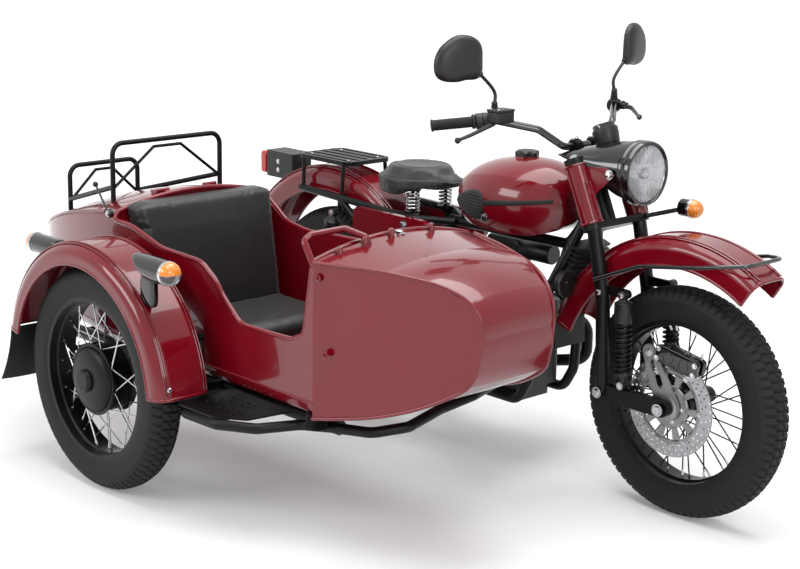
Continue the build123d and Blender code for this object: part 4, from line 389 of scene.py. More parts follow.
def spoke_parts(axle, flange_radius, flange_half):
    """Every spoke and its nipple: feet on the flanges turned by the lace angle, heads in the rim's bed."""
    spokes, nipples = [], []
    for index in range(spoke_count):
        side = 1 if index % 2 else -1
        lace = lace_angle * (1 if index % 4 < 2 else -1)
        rim_turn = index * 2 * np.pi / spoke_count
        hub_turn = rim_turn + lace
        foot = axle + np.array([flange_radius * np.cos(hub_turn), side * flange_half,
                                flange_radius * np.sin(hub_turn)])
        head = axle + np.array([rim_bed * np.cos(rim_turn), side * 0.009, rim_bed * np.sin(rim_turn)])
        run = head - foot
        spokes.append(sweep([foot, foot + run * 0.5, head], spoke_radius, 8))
        nipples.append(sweep([head - run * 0.085, head - run * 0.02, head + run * 0.01],
                             [0.0031, 0.0036, 0.0036], 6))
    return joined(*spokes), joined(*nipples)


slim_hub = [(-0.066, 0.0103), (-0.066, 0.028), (-0.064, 0.030), (-0.042, 0.030), (-0.042, 0.050),
            (-0.040, 0.052), (-0.032, 0.052), (-0.030, 0.050), (-0.027, 0.034), (0.027, 0.034), (0.030, 0.050),
            (0.032, 0.052), (0.040, 0.052), (0.042, 0.050), (0.042, 0.030), (0.064, 0.030), (0.066, 0.028),
            (0.066, 0.0103)]
drum_hub = [(0.044, 0.0103), (0.044, 0.106), (0.042, 0.108), (0.040, 0.108), (0.031, 0.100)]
for groove in np.linspace(0.024, -0.024, 7):
    drum_hub += [(groove + 0.003, 0.100), (groove + 0.002, 0.0965), (groove - 0.002, 0.0965),
                 (groove - 0.003, 0.100)]
drum_hub += [(-0.031, 0.100), (-0.040, 0.108), (-0.042, 0.108), (-0.044, 0.106)]
rear_hub = drum_hub + [(-0.044, 0.0103)]
dome = np.linspace(0, np.pi / 2, 9)
sidecar_hub = (drum_hub + [(-0.044 - 0.022 * np.sin(t), 0.036 + 0.062 * np.cos(t)) for t in dome]
               + [(-0.0665, 0.0330), (-0.070, 0.0345), (-0.076, 0.0320), (-0.0785, 0.0260), (-0.0795, 0.0250),
                  (-0.0800, 0.0), (-0.036, 0.0), (-0.036, 0.0103)])
hubs = {"front": (slim_hub, 0.048, 0.036, black_coat), "rear": (rear_hub, 0.096, 0.036, black_coat),
        "sidecar": (sidecar_hub, 0.096, 0.036, bright_steel)}
for name, (profile, flange_radius, flange_half, spoke_finish) in hubs.items():
    axle = axles[name]
    piece(name + "_rim_channel", rim_part(axle), black_coat, name + "_wheel", [name + "_rim"])
    piece(name + "_hub", lathe(axle, (0, 1, 0), profile, 96, ring=True), black_coat, name + "_wheel")
    spokes, nipples = spoke_parts(axle, flange_radius, flange_half)
    piece(name + "_spokes", spokes, spoke_finish, name + "_wheel")
    piece(name + "_nipples", nipples, bright_steel, name + "_wheel")

# %% [markdown]
# Brake disc
#
# The disc is a flat ring with three rows of drilled holes. Each hole sits in its own curved cell, and the
# cell is a small grid that runs from the hole's circle to the cell's edge. Cells side by side make the ring
# without any boolean cut, and every hole is a real one.

# %% Brake disc
disc_outer, disc_inner, disc_half = 0.1475, 0.1075, 0.0025
disc_y = axles["front"][1] - 0.066 - disc_half
hole_radius = 0.0038
hole_rows, holes_per_row = 3, 36


def drilled_ring(centre):
    """Both faces and the holes' walls of a ring, from cells of (turn, radius)."""
    radial = (disc_outer - disc_inner) / hole_rows
    step = 2 * np.pi / holes_per_row
    corner = np.linspace(-1, 1, 5)[:-1]
    square = np.vstack([np.stack([corner, -np.ones(4)], 1), np.stack([np.ones(4), corner], 1),
                        np.stack([-corner, np.ones(4)], 1), np.stack([-np.ones(4), -corner], 1)])
    angle = np.arctan2(square[:, 1], square[:, 0])
    parts = []
    for row in range(hole_rows):
        middle = disc_inner + (row + 0.5) * radial
        for hole in range(holes_per_row):
            turn = (hole + 0.33 * row) * step
            edge_r = middle + square[:, 1] * radial / 2
            edge_t = turn + square[:, 0] * step / 2
            edge = np.stack([edge_r * np.cos(edge_t), edge_r * np.sin(edge_t)], 1)
            round_r = middle + hole_radius * np.sin(angle)
            round_t = turn + hole_radius * np.cos(angle) / middle
            inner = np.stack([round_r * np.cos(round_t), round_r * np.sin(round_t)], 1)
            loops = [np.insert(loop, 1, depth, axis=1) for loop, depth in
                     ((edge, -disc_half), (inner, -disc_half), (inner, disc_half), (edge, disc_half))]
            parts.append(grid_part(centre + np.array(loops), wrap_columns=True))
    return joined(*parts)


disc_centre = np.array([axles["front"][0], disc_y, axles["front"][2]])
rim_edges = [lathe(disc_centre, (0, 1, 0), [(-disc_half, r), (disc_half, r)], 12 * holes_per_row)
             for r in (disc_outer, disc_inner)]
piece("drilled_disc", joined(drilled_ring(disc_centre), *rim_edges), disc_steel, "front_wheel",
      ["brake_disc"], outward=False)
carrier_half = 0.0038
arm_half_turn = 0.115


def polar_block(centre, inner, outer, start, stop, half, count=7):
    """A closed block between two radii and two angles about the wheel's axle."""
    turn = np.linspace(start, stop, count)[:, None]
    radius = np.array([inner, outer, outer, inner])[None]
    across = np.array([-half, -half, half, half])[None] * np.ones_like(turn)
    points = np.stack([radius * np.cos(turn), across, radius * np.sin(turn)], -1)
    return grid_part(centre + points, wrap_columns=True, cap=True)


def flat_ring(centre, inner, outer, half, count=96):
    """A flat ring about the wheel's axle, closed all round."""
    profile = [(-half, inner), (-half, outer - half / 2), (-half / 2, outer), (half / 2, outer),
               (half, outer - half / 2), (half, inner)]
    return lathe(centre, (0, 1, 0), profile, count, ring=True)


arms = [polar_block(disc_centre, 0.060, 0.101, t - arm_half_turn, t + arm_half_turn, carrier_half)
        for t in np.arange(10) * np.pi / 5]
rivets = [bolt(disc_centre + [0.106 * np.cos(t), -carrier_half, 0.106 * np.sin(t)], (0, -1, 0), 0.006, 0.004)
          for t in np.arange(6) * np.pi / 3]
hub_bolts = [bolt(disc_centre + [0.044 * np.cos(t), -carrier_half, 0.044 * np.sin(t)], (0, -1, 0), 0.0055, 0.005)
             for t in np.arange(5) * 2 * np.pi / 5]
piece("disc_carrier", joined(flat_ring(disc_centre, 0.098, 0.1105, carrier_half),
                             flat_ring(disc_centre, 0.020, 0.064, carrier_half), *arms), cast_alloy, "front_wheel")
piece("disc_bolts", joined(*rivets, *hub_bolts), bright_steel, "front_wheel")

# %% [markdown]
# Coil springs
#
# The springs read as fourteen tight black coils round a damper. A coil is a helix, so it is a tube along
# cos and sin with a climb that is a little slower at its two ends. The damper has a bright rod above and a
# body below, and a rubber bush with a chrome bolt in each eye.

# %% Springs
coil_turns = 13.5
steering_half_shock = 0.110
rear_half_shock = 0.128


def shock_parts(lower, upper, across=1):
    """(coils, damper body, bright parts) of one unit, between the middles of its two eyes."""
    lower, upper = np.array(lower), np.array(upper)
    run = upper - lower
    length = np.linalg.norm(run)
    along, side, other = axes_of(run)
    t = np.linspace(0, 1, int(coil_turns * 22))
    turn = 2 * np.pi * coil_turns * t
    climb = 0.040 + (length - 0.080) * (t + 0.010 * np.sin(2 * np.pi * t) * -1)
    path = lower + climb[:, None] * along + 0.0215 * (np.cos(turn)[:, None] * side
                                                      + np.sin(turn)[:, None] * other)
    coils = sweep(path, 0.0042, 8)
    body = lathe(lower, along, [(0.010, 0), (0.010, 0.011), (0.030, 0.013), (0.030, 0.0255), (0.036, 0.0265),
                                (0.040, 0.0255), (0.040, 0.0150), (length * 0.62, 0.0150),
                                (length * 0.62, 0.0)], 36)
    cap = lathe(lower, along, [(length - 0.044, 0), (length - 0.044, 0.024), (length - 0.040, 0.0262),
                               (length - 0.030, 0.0262), (length - 0.022, 0.018), (length - 0.010, 0.012),
                               (length - 0.010, 0)], 36)
    rod = lathe(lower, along, [(length * 0.60, 0), (length * 0.60, 0.0075), (length - 0.040, 0.0075),
                               (length - 0.040, 0)], 20)
    eyes, bolts = [], []
    for eye in (lower, upper):
        eyes.append(lathe(eye, (0, 1, 0), [(-0.013, 0), (-0.013, 0.011), (-0.011, 0.013), (0.011, 0.013),
                                           (0.013, 0.011), (0.013, 0)], 28))
        bolts.append(bolt(eye + [0, across * 0.0135, 0], (0, across, 0), 0.008, 0.006))
    return coils, joined(body, cap, *eyes), joined(rod, *bolts)


shock_places = {
    "steering": [((0.694, bike_middle + y, 0.3753), (0.682, bike_middle + y, 0.640), np.sign(y))
                 for y in (-steering_half_shock, steering_half_shock)],
    "chassis": [((-0.638, bike_middle + y, 0.404), (-0.5601, bike_middle + y, 0.6895), np.sign(y))
                for y in (-rear_half_shock, rear_half_shock)]
               + [((-0.383, -0.6525, 0.3673), (-0.383, -0.6525, 0.5993), -1)]}
for body, places in shock_places.items():
    made = [shock_parts(*place) for place in places]
    covers = [lathe(upper, np.array(lower) - upper, [(0.018, 0), (0.018, 0.020), (0.022, 0.0262), (0.078, 0.0275),
                                                     (0.080, 0.0268), (0.080, 0)], 48)
              for lower, upper, across in places if body == "steering"]
    node_name = {"steering": "fork_shocks", "chassis": "shocks"}[body]
    piece(node_name + "_coils", joined(*[m[0] for m in made]), black_coat, body, [node_name])
    piece(node_name + "_dampers", joined(*[m[1] for m in made], *covers), black_plastic, body)
    piece(node_name + "_bright", joined(*[m[2] for m in made]), bright_steel, body)

# %% [markdown]
# Brake caliper
#
# The caliper is a black body that bridges the disc, on a grey bracket with an oval window. The body is three
# rounded blocks, one each side of the disc and one over its edge. The bracket's outline is a hull of two
# circles: in each direction its edge is the further of the two, and the window is the same with two small ones.

# %% Caliper
def hull_loop(first, second, first_radius, second_radius, count=48):
    """The outline round two circles in the x-z plane: at each angle the circle that reaches further."""
    turn = np.linspace(0, 2 * np.pi, count, endpoint=False)
    facing = np.stack([np.cos(turn), np.sin(turn)], 1)
    first, second = np.array(first), np.array(second)
    reach_first, reach_second = facing @ first + first_radius, facing @ second + second_radius
    return np.where((reach_first >= reach_second)[:, None], first + first_radius * facing,
                    second + second_radius * facing)


def window_plate(outer, inner, low, high):
    """A plate across y with a window: outer and inner outline at both faces, joined as a ring."""
    loops = [np.insert(loop, 1, y, axis=1) for loop, y in
             ((outer, low), (inner, low), (inner, high), (outer, high))]
    return grid_part(np.array(loops), wrap_rows=True, wrap_columns=True)


arm_low, arm_high = np.array([0.836, 0.338]), np.array([0.762, 0.4855])
arm_run = arm_high - arm_low
caliper_turn = np.radians(-11)


def turned(part, angle=caliper_turn):
    """The same part, turned about the wheel's axle: x and z mix by the angle's cos and sin."""
    points = part[0] - axles["front"]
    x, z = points[:, 0], points[:, 2]
    moved = np.stack([x * np.cos(angle) - z * np.sin(angle), points[:, 1],
                      x * np.sin(angle) + z * np.cos(angle)], 1)
    return moved + axles["front"], part[1]


bracket = window_plate(hull_loop(arm_low, arm_high, 0.040, 0.023),
                       hull_loop(arm_low + arm_run * 0.42, arm_low + arm_run * 0.80, 0.013, 0.010), 0.3015, 0.3085)
boss = lathe((0.836, 0.305, 0.338), (0, 1, 0), [(-0.006, 0.0175), (-0.006, 0.030), (-0.004, 0.033),
                                                (0.004, 0.033), (0.004, 0.0175)], 48, ring=True)
piece("caliper_bracket", joined(bracket, boss), cast_alloy, "steering", ["caliper"])
body_blocks = [pillow((0.836, 0.3005, 0.4835), (0.075, 0.0082, 0.0260), 7.0),
               pillow((0.836, 0.3315, 0.4835), (0.075, 0.0080, 0.0260), 7.0),
               pillow((0.836, 0.3160, 0.5005), (0.056, 0.0230, 0.0090), 6.0)]
pots = [lathe((x, 0.2930, 0.4810), (0, -1, 0), [(0, 0), (0, 0.0185), (0.003, 0.0175), (0.003, 0.0150),
                                                (0.001, 0.0140), (0.001, 0)], 40) for x in (0.808, 0.864)]
piece("caliper_body", turned(joined(*body_blocks, *pots)), gloss_black, "steering")
caliper_bolts = [bolt((x, 0.2925, z), (0, -1, 0), 0.0060, 0.005)
                 for x, z in ((0.771, 0.468), (0.771, 0.497), (0.901, 0.468), (0.901, 0.497))]
bleeder = lathe((0.893, 0.3315, 0.507), (0, 0, 1), [(0, 0), (0, 0.005), (0.006, 0.005), (0.006, 0.003),
                                                    (0.014, 0.003), (0.016, 0.002), (0.016, 0)], 16)
piece("caliper_bolts", turned(joined(*caliper_bolts, bleeder)), bright_steel, "steering")
arm_bolts = [bolt((0.762, 0.3012, 0.4855), (0, -1, 0), 0.009, 0.007),
             bolt((0.836, 0.2565, 0.338), (0, -1, 0), 0.013, 0.010),
             bolt((0.614, 0.2560, 0.338), (0, -1, 0), 0.012, 0.008)]
piece("axle_bolts", joined(*arm_bolts), bright_steel, "steering")

# %% [markdown]
# Headlight
#
# Behind the glass lies a bright bowl with a small bulb cap, and the glass has fine flutes above and below a
# clear band. The flutes are a wave on the inner face of the glass, so they bend the light as real ones do.
# A closed cover runs back from the lamp over the fork's clamp, and each of its rows is an ellipse.

# %% Headlight
lamp_front = np.array([0.656, bike_middle, 0.975])
rim_profile = [(-0.036, 0.0895), (-0.032, 0.0945), (-0.024, 0.0948), (-0.021, 0.0930), (-0.018, 0.0948),
               (-0.004, 0.0952), (0.004, 0.0925), (0.005, 0.0880), (0.001, 0.0845), (-0.004, 0.0838),
               (-0.030, 0.0860)]
piece("headlight_rim", lathe(lamp_front, (1, 0, 0), rim_profile, 128, ring=True), gloss_black, "steering")
bowl = [(-0.0136, 0), (-0.0132, 0.020), (-0.0112, 0.044), (-0.0070, 0.066), (-0.0010, 0.0826), (-0.0020, 0.0832),
        (-0.0138, 0.0832), (-0.0138, 0)]
bulb = [(-0.0130, 0), (-0.0130, 0.017), (-0.0040, 0.015), (-0.0010, 0.009), (0, 0)]
piece("headlight_bowl", joined(lathe(lamp_front, (1, 0, 0), bowl, 96), lathe(lamp_front, (1, 0, 0), bulb, 32)),
      lamp_bowl, "steering")


def lens_part(centre, radius, rise, wall, flute):
    """A dome as rings of points. Outer face: rise * (1 - share^2). Inner face: the same less the wall, with a
    wave across the lens, which fades inside the middle band."""
    share = np.concatenate([np.linspace(0, 1, 40), np.linspace(1, 0, 40)])[:, None]
    turn = np.linspace(0, 2 * np.pi, 160, endpoint=False)[None]
    inner = (np.arange(80) >= 40)[:, None]
    across, up = share * radius * np.cos(turn), share * radius * np.sin(turn)
    band = soft_step(np.abs(up) - 0.016, 0.004)
    wave = flute * band * np.cos(2 * np.pi * across / 0.0085) * (share < 0.97)
    along = rise * (1 - share ** 2) - inner * (wall + wave)
    return grid_part(centre + np.stack([along + 0 * turn, across, up], -1), wrap_columns=True)


piece("headlight_glass", lens_part(lamp_front, 0.0835, 0.012, 0.0028, 0.0009), clear_glass, "steering",
      ["headlight_lens"])
nacelle_rows = np.array([(0.640, 0.975, 0, 0), (0.640, 0.975, 0.0895, 0.0895), (0.610, 0.976, 0.0900, 0.0880),
                         (0.575, 0.981, 0.0925, 0.0790), (0.540, 0.988, 0.0970, 0.0660),
                         (0.500, 0.997, 0.1030, 0.0490), (0.460, 1.004, 0.1085, 0.0320),
                         (0.430, 1.008, 0.1110, 0.0190), (0.412, 1.009, 0.1090, 0.0100),
                         (0.406, 1.009, 0.1040, 0.0040), (0.405, 1.009, 0, 0)])
nacelle_turn = np.linspace(0, 2 * np.pi, 72, endpoint=False)[None]
x, z, wide, high = (nacelle_rows[:, k:k + 1] for k in range(4))
nacelle = np.stack([x + 0 * nacelle_turn, bike_middle + wide * np.cos(nacelle_turn),
                    z + high * np.sin(nacelle_turn)], -1)
piece("headlight_nacelle", grid_part(nacelle, wrap_columns=True), gloss_black, "steering")
ear_bolts = [bolt((0.600, bike_middle + side * 0.1005, 0.975), (0, side, 0), 0.0105, 0.008) for side in (-1, 1)]
ear_domes = [lathe((0.600, bike_middle + side * 0.1085, 0.975), (0, side, 0),
                   [(0, 0), (0, 0.0090), (0.003, 0.0078), (0.005, 0.0045), (0.0055, 0)], 24) for side in (-1, 1)]
piece("headlight_bolts", joined(*ear_bolts, *ear_domes), bright_steel, "steering")

# %% [markdown]
# Fork shrouds, clamps and dial
#
# Three raised ridges run down each red shroud, and the bar clamps have two bolts each. The dial is a ring, a
# dark face, plain marks and a needle, and carries no words.

# %% Shroud ridges, clamp bolts and dial
stem_origin, rake = np.array([0.47606, bike_middle, 0.90003]), np.radians(24)
stem_up = np.array([-np.sin(rake), 0, np.cos(rake)])
stem_ahead = np.array([np.cos(rake), 0, np.sin(rake)])


def on_stem(along, left, ahead):
    """A place by its distance up the steering stem, to the left of it and ahead of it."""
    return stem_origin + stem_up * along + np.array([0, left, 0]) + stem_ahead * ahead


ridges = []
for side in (-1, 1):
    for lean in np.radians([-32, 0, 32]):
        out, ahead = side * np.sin(lean + 0.5) * 0.033, np.cos(lean + 0.5) * 0.033
        ridges.append(sweep([on_stem(a, side * 0.102 + out, 0.035 + ahead)
                             for a in np.linspace(-92, 22, 12) / 1000], 0.0030, 8))
    for along in (-0.096, 0.076):
        ridges.append(lathe(on_stem(along, side * 0.102, 0.035), stem_up,
                            [(-0.003, 0.0325), (-0.003, 0.0345), (0, 0.0358), (0.003, 0.0345), (0.003, 0.0325)],
                            48, ring=True))
piece("shroud_ridges", joined(*ridges), red_paint, "steering")
clamp_bolts = [bolt(on_stem(0.1615, side * 0.040, ahead), stem_up, 0.0062, 0.007)
               for side in (-1, 1) for ahead in (-0.009, 0.009)]
clamp_bolts += [bolt(on_stem(0.0985, side * 0.102, 0.035), stem_up, 0.015, 0.010) for side in (-1, 1)]
clamp_bolts += [bolt(on_stem(0.0985, 0, 0), stem_up, 0.013, 0.010)]
piece("clamp_bolts", joined(*clamp_bolts), bright_steel, "steering")
dial_tilt = np.array([-0.42, 0, 0.907])
dial_middle = np.array([0.500, bike_middle, 1.066])
dial_top = dial_middle + dial_tilt * 0.024
case = [(-0.036, 0), (-0.036, 0.022), (-0.033, 0.028), (-0.024, 0.034), (0.000, 0.0378), (0.016, 0.0388),
        (0.020, 0.0380), (0.022, 0.0350), (0.022, 0)]
piece("dial_case", lathe(dial_middle, dial_tilt, case, 72), black_plastic, "steering",
      ["speedometer"])
dial_ring = [(-0.012, 0.0260), (-0.012, 0.0330), (0.008, 0.0345), (0.011, 0.0330), (0.011, 0.0300), (0.007, 0.0285)]
piece("dial_bezel", lathe(dial_top, dial_tilt, dial_ring, 72, ring=True), gloss_black, "steering")
piece("dial_face", lathe(dial_top, dial_tilt, [(-0.010, 0), (-0.010, 0.030), (0.0055, 0.030), (0.0055, 0)], 48),
      black_plastic, "steering")
along, side_way, other_way = axes_of(dial_tilt)
marks = []
for index, turn in enumerate(np.linspace(-0.75, 0.75, 13) * np.pi):
    ray = np.cos(turn) * side_way + np.sin(turn) * other_way
    start = dial_top + along * 0.0060 + ray * (0.0215 if index % 2 == 0 else 0.0240)
    marks.append(sweep([start, dial_top + along * 0.0060 + ray * 0.0270], 0.0006, 4))
needle_foot = dial_top + along * 0.0064
marks.append(sweep([needle_foot, needle_foot + side_way * -0.022], [0.0012, 0.0004], 6))
piece("dial_marks", joined(*marks), dial_white, "steering")

# %% [markdown]
# Grips, levers and mirrors
#
# Grips, housings and levers follow the line of the grip: each is placed by a distance in from the bar's end.
# The grips are turned with ribs, the levers end in balls, and the mirrors are domes with a drop outline.

# %% Handlebar furniture
bar_centre = np.array([0.4179, bike_middle, 1.0307])


def along_grip(out, inward):
    """A place on the grip's stretch of the bar, and the direction inward."""
    end = bar_centre + np.array([-0.225, out * 0.409, 0.064])
    way = bar_centre + np.array([-0.120, out * 0.270, 0.081]) - end
    way /= np.linalg.norm(way)
    return end + way * inward, way


grip_profile = [(-0.004, 0), (-0.004, 0.0150), (-0.002, 0.0180), (0.002, 0.0180), (0.003, 0.0155)]
for rib in np.arange(0.008, 0.112, 0.0055):
    grip_profile += [(rib, 0.0152), (rib + 0.0012, 0.0163), (rib + 0.0032, 0.0163), (rib + 0.0044, 0.0152)]
grip_profile += [(0.114, 0.0155), (0.116, 0.0205), (0.119, 0.0215), (0.123, 0.0205), (0.125, 0.0160), (0.125, 0)]
grips, housings, levers, buttons, stems, heads, glasses = [], [], [], [], [], [], []
for out in (-1, 1):
    end, way = along_grip(out, 0)
    grips.append(lathe(end, way, grip_profile, 56))
    housings.append(lathe(end, way, [(0.1255, 0), (0.1255, 0.0205), (0.1275, 0.0230), (0.1435, 0.0232),
                                     (0.1445, 0.0222), (0.1455, 0.0232), (0.1610, 0.0230), (0.1635, 0.0205),
                                     (0.1635, 0)], 48))
    root, tip = along_grip(out, 0.1445)[0], along_grip(out, 0.006)[0] + [0.096, 0, -0.032]
    housings.append(pillow(root + [0.030, 0, 0.002], (0.020, 0.014, 0.011), 5.0))
    knee = root + [0.048, 0, 0]
    path = smooth_path([root + [0.034, 0, 0], knee + [0.006, out * 0.010, -0.002], (knee * 2 + tip) / 3
                        + [0.010, 0, 0.002], (knee + 2 * tip) / 3 + [0.006, 0, 0], tip], 8)
    levers.append(sweep(path, np.linspace(0.0078, 0.0052, len(path)), 12))
    levers.append(pillow(tip, (0.0092, 0.0092, 0.0092), 2.0))
    levers.append(bolt(root + [0.036, 0, 0.013], (0, 0, 1), 0.005, 0.004))
    for inward, turn in ((0.134, 0.5), (0.150, -0.2), (0.156, 0.9)):
        facing = np.array([-np.cos(turn), 0, np.sin(turn)])
        buttons.append(lathe(along_grip(out, inward)[0], facing, [(0.018, 0), (0.018, 0.0052), (0.0262, 0.0050),
                                                                  (0.0270, 0.0042), (0.0270, 0)], 20))
    foot = along_grip(out, 0.1800)[0] + [0, 0, 0.0130]
    elbow, neck = foot + [-0.004, 0, 0.0700], foot + [-0.010, out * 0.058, 0.124]
    head = np.array([0.2795, bike_middle + out * 0.3860, 1.2920])
    stems.append(sweep(smooth_path([foot, foot + [0, 0, 0.030], elbow, neck, neck + (head - neck) * 0.5], 7),
                       0.0052, 14))
    boot = [(0.0, 0), (0.0, 0.0125)] + [(0.004 + 0.0055 * k + d, r - 0.0006 * k) for k in range(6)
                                        for d, r in ((0, 0.0105), (0.0015, 0.0125), (0.0040, 0.0125))]
    stems.append(lathe(foot, (0, 0, 1), boot + [(0.040, 0.0070), (0.041, 0)], 28))
    stems.append(lathe(neck, head - neck, [(-0.010, 0), (-0.010, 0.0085), (0.006, 0.0100), (0.014, 0.0090),
                                           (0.014, 0)], 24))
    turn_in = np.radians(18)
    facing = np.array([np.cos(turn_in), out * np.sin(turn_in), 0])
    level = np.cross([0, 0, 1.0], facing)
    t = np.linspace(0, 2 * np.pi, 64, endpoint=False)[None]
    outline = np.interp(np.degrees(t), [0, 35, 80, 130, 170, 215, 250, 290, 322, 342],
                        np.array([69, 76, 66, 62, 73, 88, 68, 61, 88, 73]) / 1000, period=360)
    for _ in range(4):
        outline = (np.roll(outline, 1) + 2 * outline + np.roll(outline, -1)) / 4
    drop_wide, drop_high = -out * np.sign(level[1]) * outline * np.cos(t), outline * np.sin(t)

    def mirror_rings(scale, depth):
        """Rings of the drop outline: each ring has its own scale and its own distance from the glass."""
        scale, depth = np.array(scale)[:, None], np.array(depth)[:, None]
        wide, high = scale * drop_wide, scale * drop_high
        return grid_part(head + wide[..., None] * level + high[..., None] * np.array([0, 0, 1.0])
                         + (depth + 0 * t)[..., None] * facing, wrap_columns=True)

    round_off = np.linspace(0, np.pi / 2, 12)
    heads.append(mirror_rings([0, 0.90, 0.91, 1.0, 1.02] + list(1.02 * np.cos(round_off) ** 0.5),
                              [-0.0105, -0.0105, -0.0130, -0.0145, -0.0110]
                              + list(-0.0080 + 0.0230 * np.sin(round_off))))
    glasses.append(mirror_rings([0, 0.895, 0.895, 0], [-0.0122, -0.0122, -0.0108, -0.0108]))
reservoir = along_grip(-1, 0.1635)[0] + [0.048, 0, 0.015]
housings.append(pillow(reservoir, (0.024, 0.036, 0.0175), 8.0))
housings.append(pillow(reservoir + [0, 0, 0.0190], (0.0255, 0.0375, 0.0040), 8.0))
buttons.append(lathe(reservoir, (-1, 0, 0), [(0.022, 0), (0.022, 0.0085), (0.0252, 0.0085), (0.0252, 0)], 24))
caps = [bolt(reservoir + [x, y, 0.0228], (0, 0, 1), 0.0032, 0.0022) for x in (-0.014, 0.014)
        for y in (-0.024, 0.024)]
piece("ribbed_grips", joined(*grips), soft_rubber, "steering", ["grips"])
piece("switch_housings", joined(*housings), black_plastic, "steering", ["controls"])
piece("hand_levers", joined(*levers), black_plastic, "steering")
piece("switch_buttons", joined(*buttons, *caps), bright_steel, "steering")
piece("mirror_stems", joined(*stems), black_plastic, "steering")
piece("mirror_heads", joined(*heads), black_plastic, "steering", ["mirrors"])
piece("mirror_faces", joined(*glasses), mirror_glass, "steering")

# %% [markdown]
# Turn signals
#
# Each lamp is a tube with a chrome ring and a domed lens. The lens has rings on its face, and the front lens
# of the sidecar is amber above and clear below, so its dome is made twice, as two half turns.

# %% Turn signals
def half_dome(place, way, radius, rise, start, stop):
    """A ribbed dome between two angles, closed by its back and by the flat cut through its middle."""
    along, side, other = axes_of(way)
    share = np.concatenate([np.linspace(0, 1, 22), [1.0, 0.0]])[:, None]
    height = rise * np.sqrt(1 - np.clip(share, 0, 1) ** 2) + 0.008 + 0.0005 * np.cos(share * 40)
    height[-2:] = 0
    turn = np.linspace(start, stop, 40)[None]
    points = (np.array(place, float) + (height + 0 * turn)[..., None] * along
              + (radius * share * np.cos(turn))[..., None] * side + (radius * share * np.sin(turn))[..., None] * other)
    points, faces = grid_part(points)
    first, last = np.arange(24) * 40, np.arange(24) * 40 + 39
    return points, faces + [list(first) + list(last[::-1])] if stop - start < 6 else faces


lamps = {"front": ((-0.030, -0.7955, 0.731), 1, 0.0335), "rear": ((-0.787, -0.7455, 0.683), -1, 0.0300),
         "bike": ((0.708, 0.5345, 0.8635), 1, 0.0275)}
lamp_bodies = {"front": "chassis", "rear": "chassis", "bike": "steering"}
for name, (place, way, radius) in lamps.items():
    ring = lathe(place, (way, 0, 0), [(-0.004, radius - 0.002), (-0.004, radius + 0.0006), (0.001, radius + 0.0018),
                                      (0.006, radius + 0.0008), (0.008, radius - 0.002)], 64, ring=True)
    piece(name + "_lamp_ring", ring, bright_steel, lamp_bodies[name])


def slant_tube(place, radius, top_end, low_end, way):
    """A tube whose far end is cut at a slant: its length runs from low_end below to top_end above."""
    turn = np.linspace(0, 2 * np.pi, 64, endpoint=False)[None]
    length = (top_end + low_end) / 2 + (top_end - low_end) / 2 * np.sin(turn)
    share = np.array([0, 0, 0.3, 0.6, 0.93, 0.98, 1.0, 1.0])[:, None]
    wide = radius * np.array([0, 0.97, 1.0, 1.0, 1.0, 0.98, 0.94, 0])[:, None]
    middle = np.where(wide == 0, (top_end + low_end) / 2, length)
    tube = np.stack([-way * share * middle, wide * np.cos(turn), wide * np.sin(turn)], -1)
    return grid_part(np.array(place) + tube, wrap_columns=True)


front_place, rear_place = lamps["front"][0], lamps["rear"][0]
feet = [pillow((-0.128, -0.7900, 0.664), (0.030, 0.013, 0.046), 5.0),
        pillow((-0.680, -0.7455, 0.660), (0.030, 0.015, 0.030), 5.0)]
piece("sidecar_lamp_tubes", joined(slant_tube(front_place, 0.0345, 0.150, 0.060, 1),
                                   slant_tube(rear_place, 0.0305, 0.140, 0.060, -1), *feet),
      gloss_black, "chassis", ["sidecar_signals"])
for name, (place, way, radius) in lamps.items():
    mirror = [(0.0002, 0), (0.0002, radius - 0.004), (0.0020, radius - 0.003), (0.0020, 0.012), (0.0040, 0.006),
              (0.0120, 0.005), (0.0140, 0)]
    piece(name + "_lamp_mirror", lathe(place, (way, 0, 0), mirror, 48), lamp_bowl, lamp_bodies[name])
for name, start, stop, material in (("front", 0, np.pi, amber_lens), ("front", np.pi, 2 * np.pi, clear_glass),
                                    ("rear", 0, 2 * np.pi, amber_lens), ("bike", 0, 2 * np.pi, amber_lens)):
    place, way, radius = lamps[name]
    replaced = {"bike": ["front_signal_lens"], "rear": ["sidecar_lenses"]}.get(name, [])
    part = "clear" if material is clear_glass else "amber"
    piece(f"{name}_lamp_lens_{part}", half_dome(place, (way, 0, 0), radius, 0.028, start, stop), material,
          lamp_bodies[name], replaced)
tail = pillow((-1.045, bike_middle - 0.0005, 0.788), (0.0158, 0.0438, 0.0398), 9.0, 40, 40)
tail_points = tail[0].copy()
tail_points[:, 0] += np.where(tail_points[:, 0] < -1.052, 0.0008 * np.cos(tail_points[:, 2] * 2 * np.pi / 0.006), 0)
piece("tail_lens", (tail_points, tail[1]), red_lens, "chassis", ["tail_light"])

# %% [markdown]
# Rolled edges
#
# Sheet steel is rolled over a wire at its edges, which makes it stiff and safe to touch. So every free edge
# of a fender and of the cockpit carries a round bead, and the deck meets the sides in a raised flange. Each
# of these is one tube along a line. Cutting the corners of a closed line two or three times rounds them.

# %% Beads and flanges
def eased(path, closed=True, times=2):
    """Corner cutting: every stretch keeps only its middle half, so that each corner becomes a short curve."""
    path = np.array(path, float)
    for _ in range(times):
        ahead = np.roll(path, -1, 0) if closed else path[1:]
        behind = path if closed else path[:-1]
        cut = np.stack([behind * 0.75 + ahead * 0.25, behind * 0.25 + ahead * 0.75], 1).reshape(-1, 3)
        path = cut if closed else np.vstack([path[:1], cut[1:-1], path[-1:]])
    return path


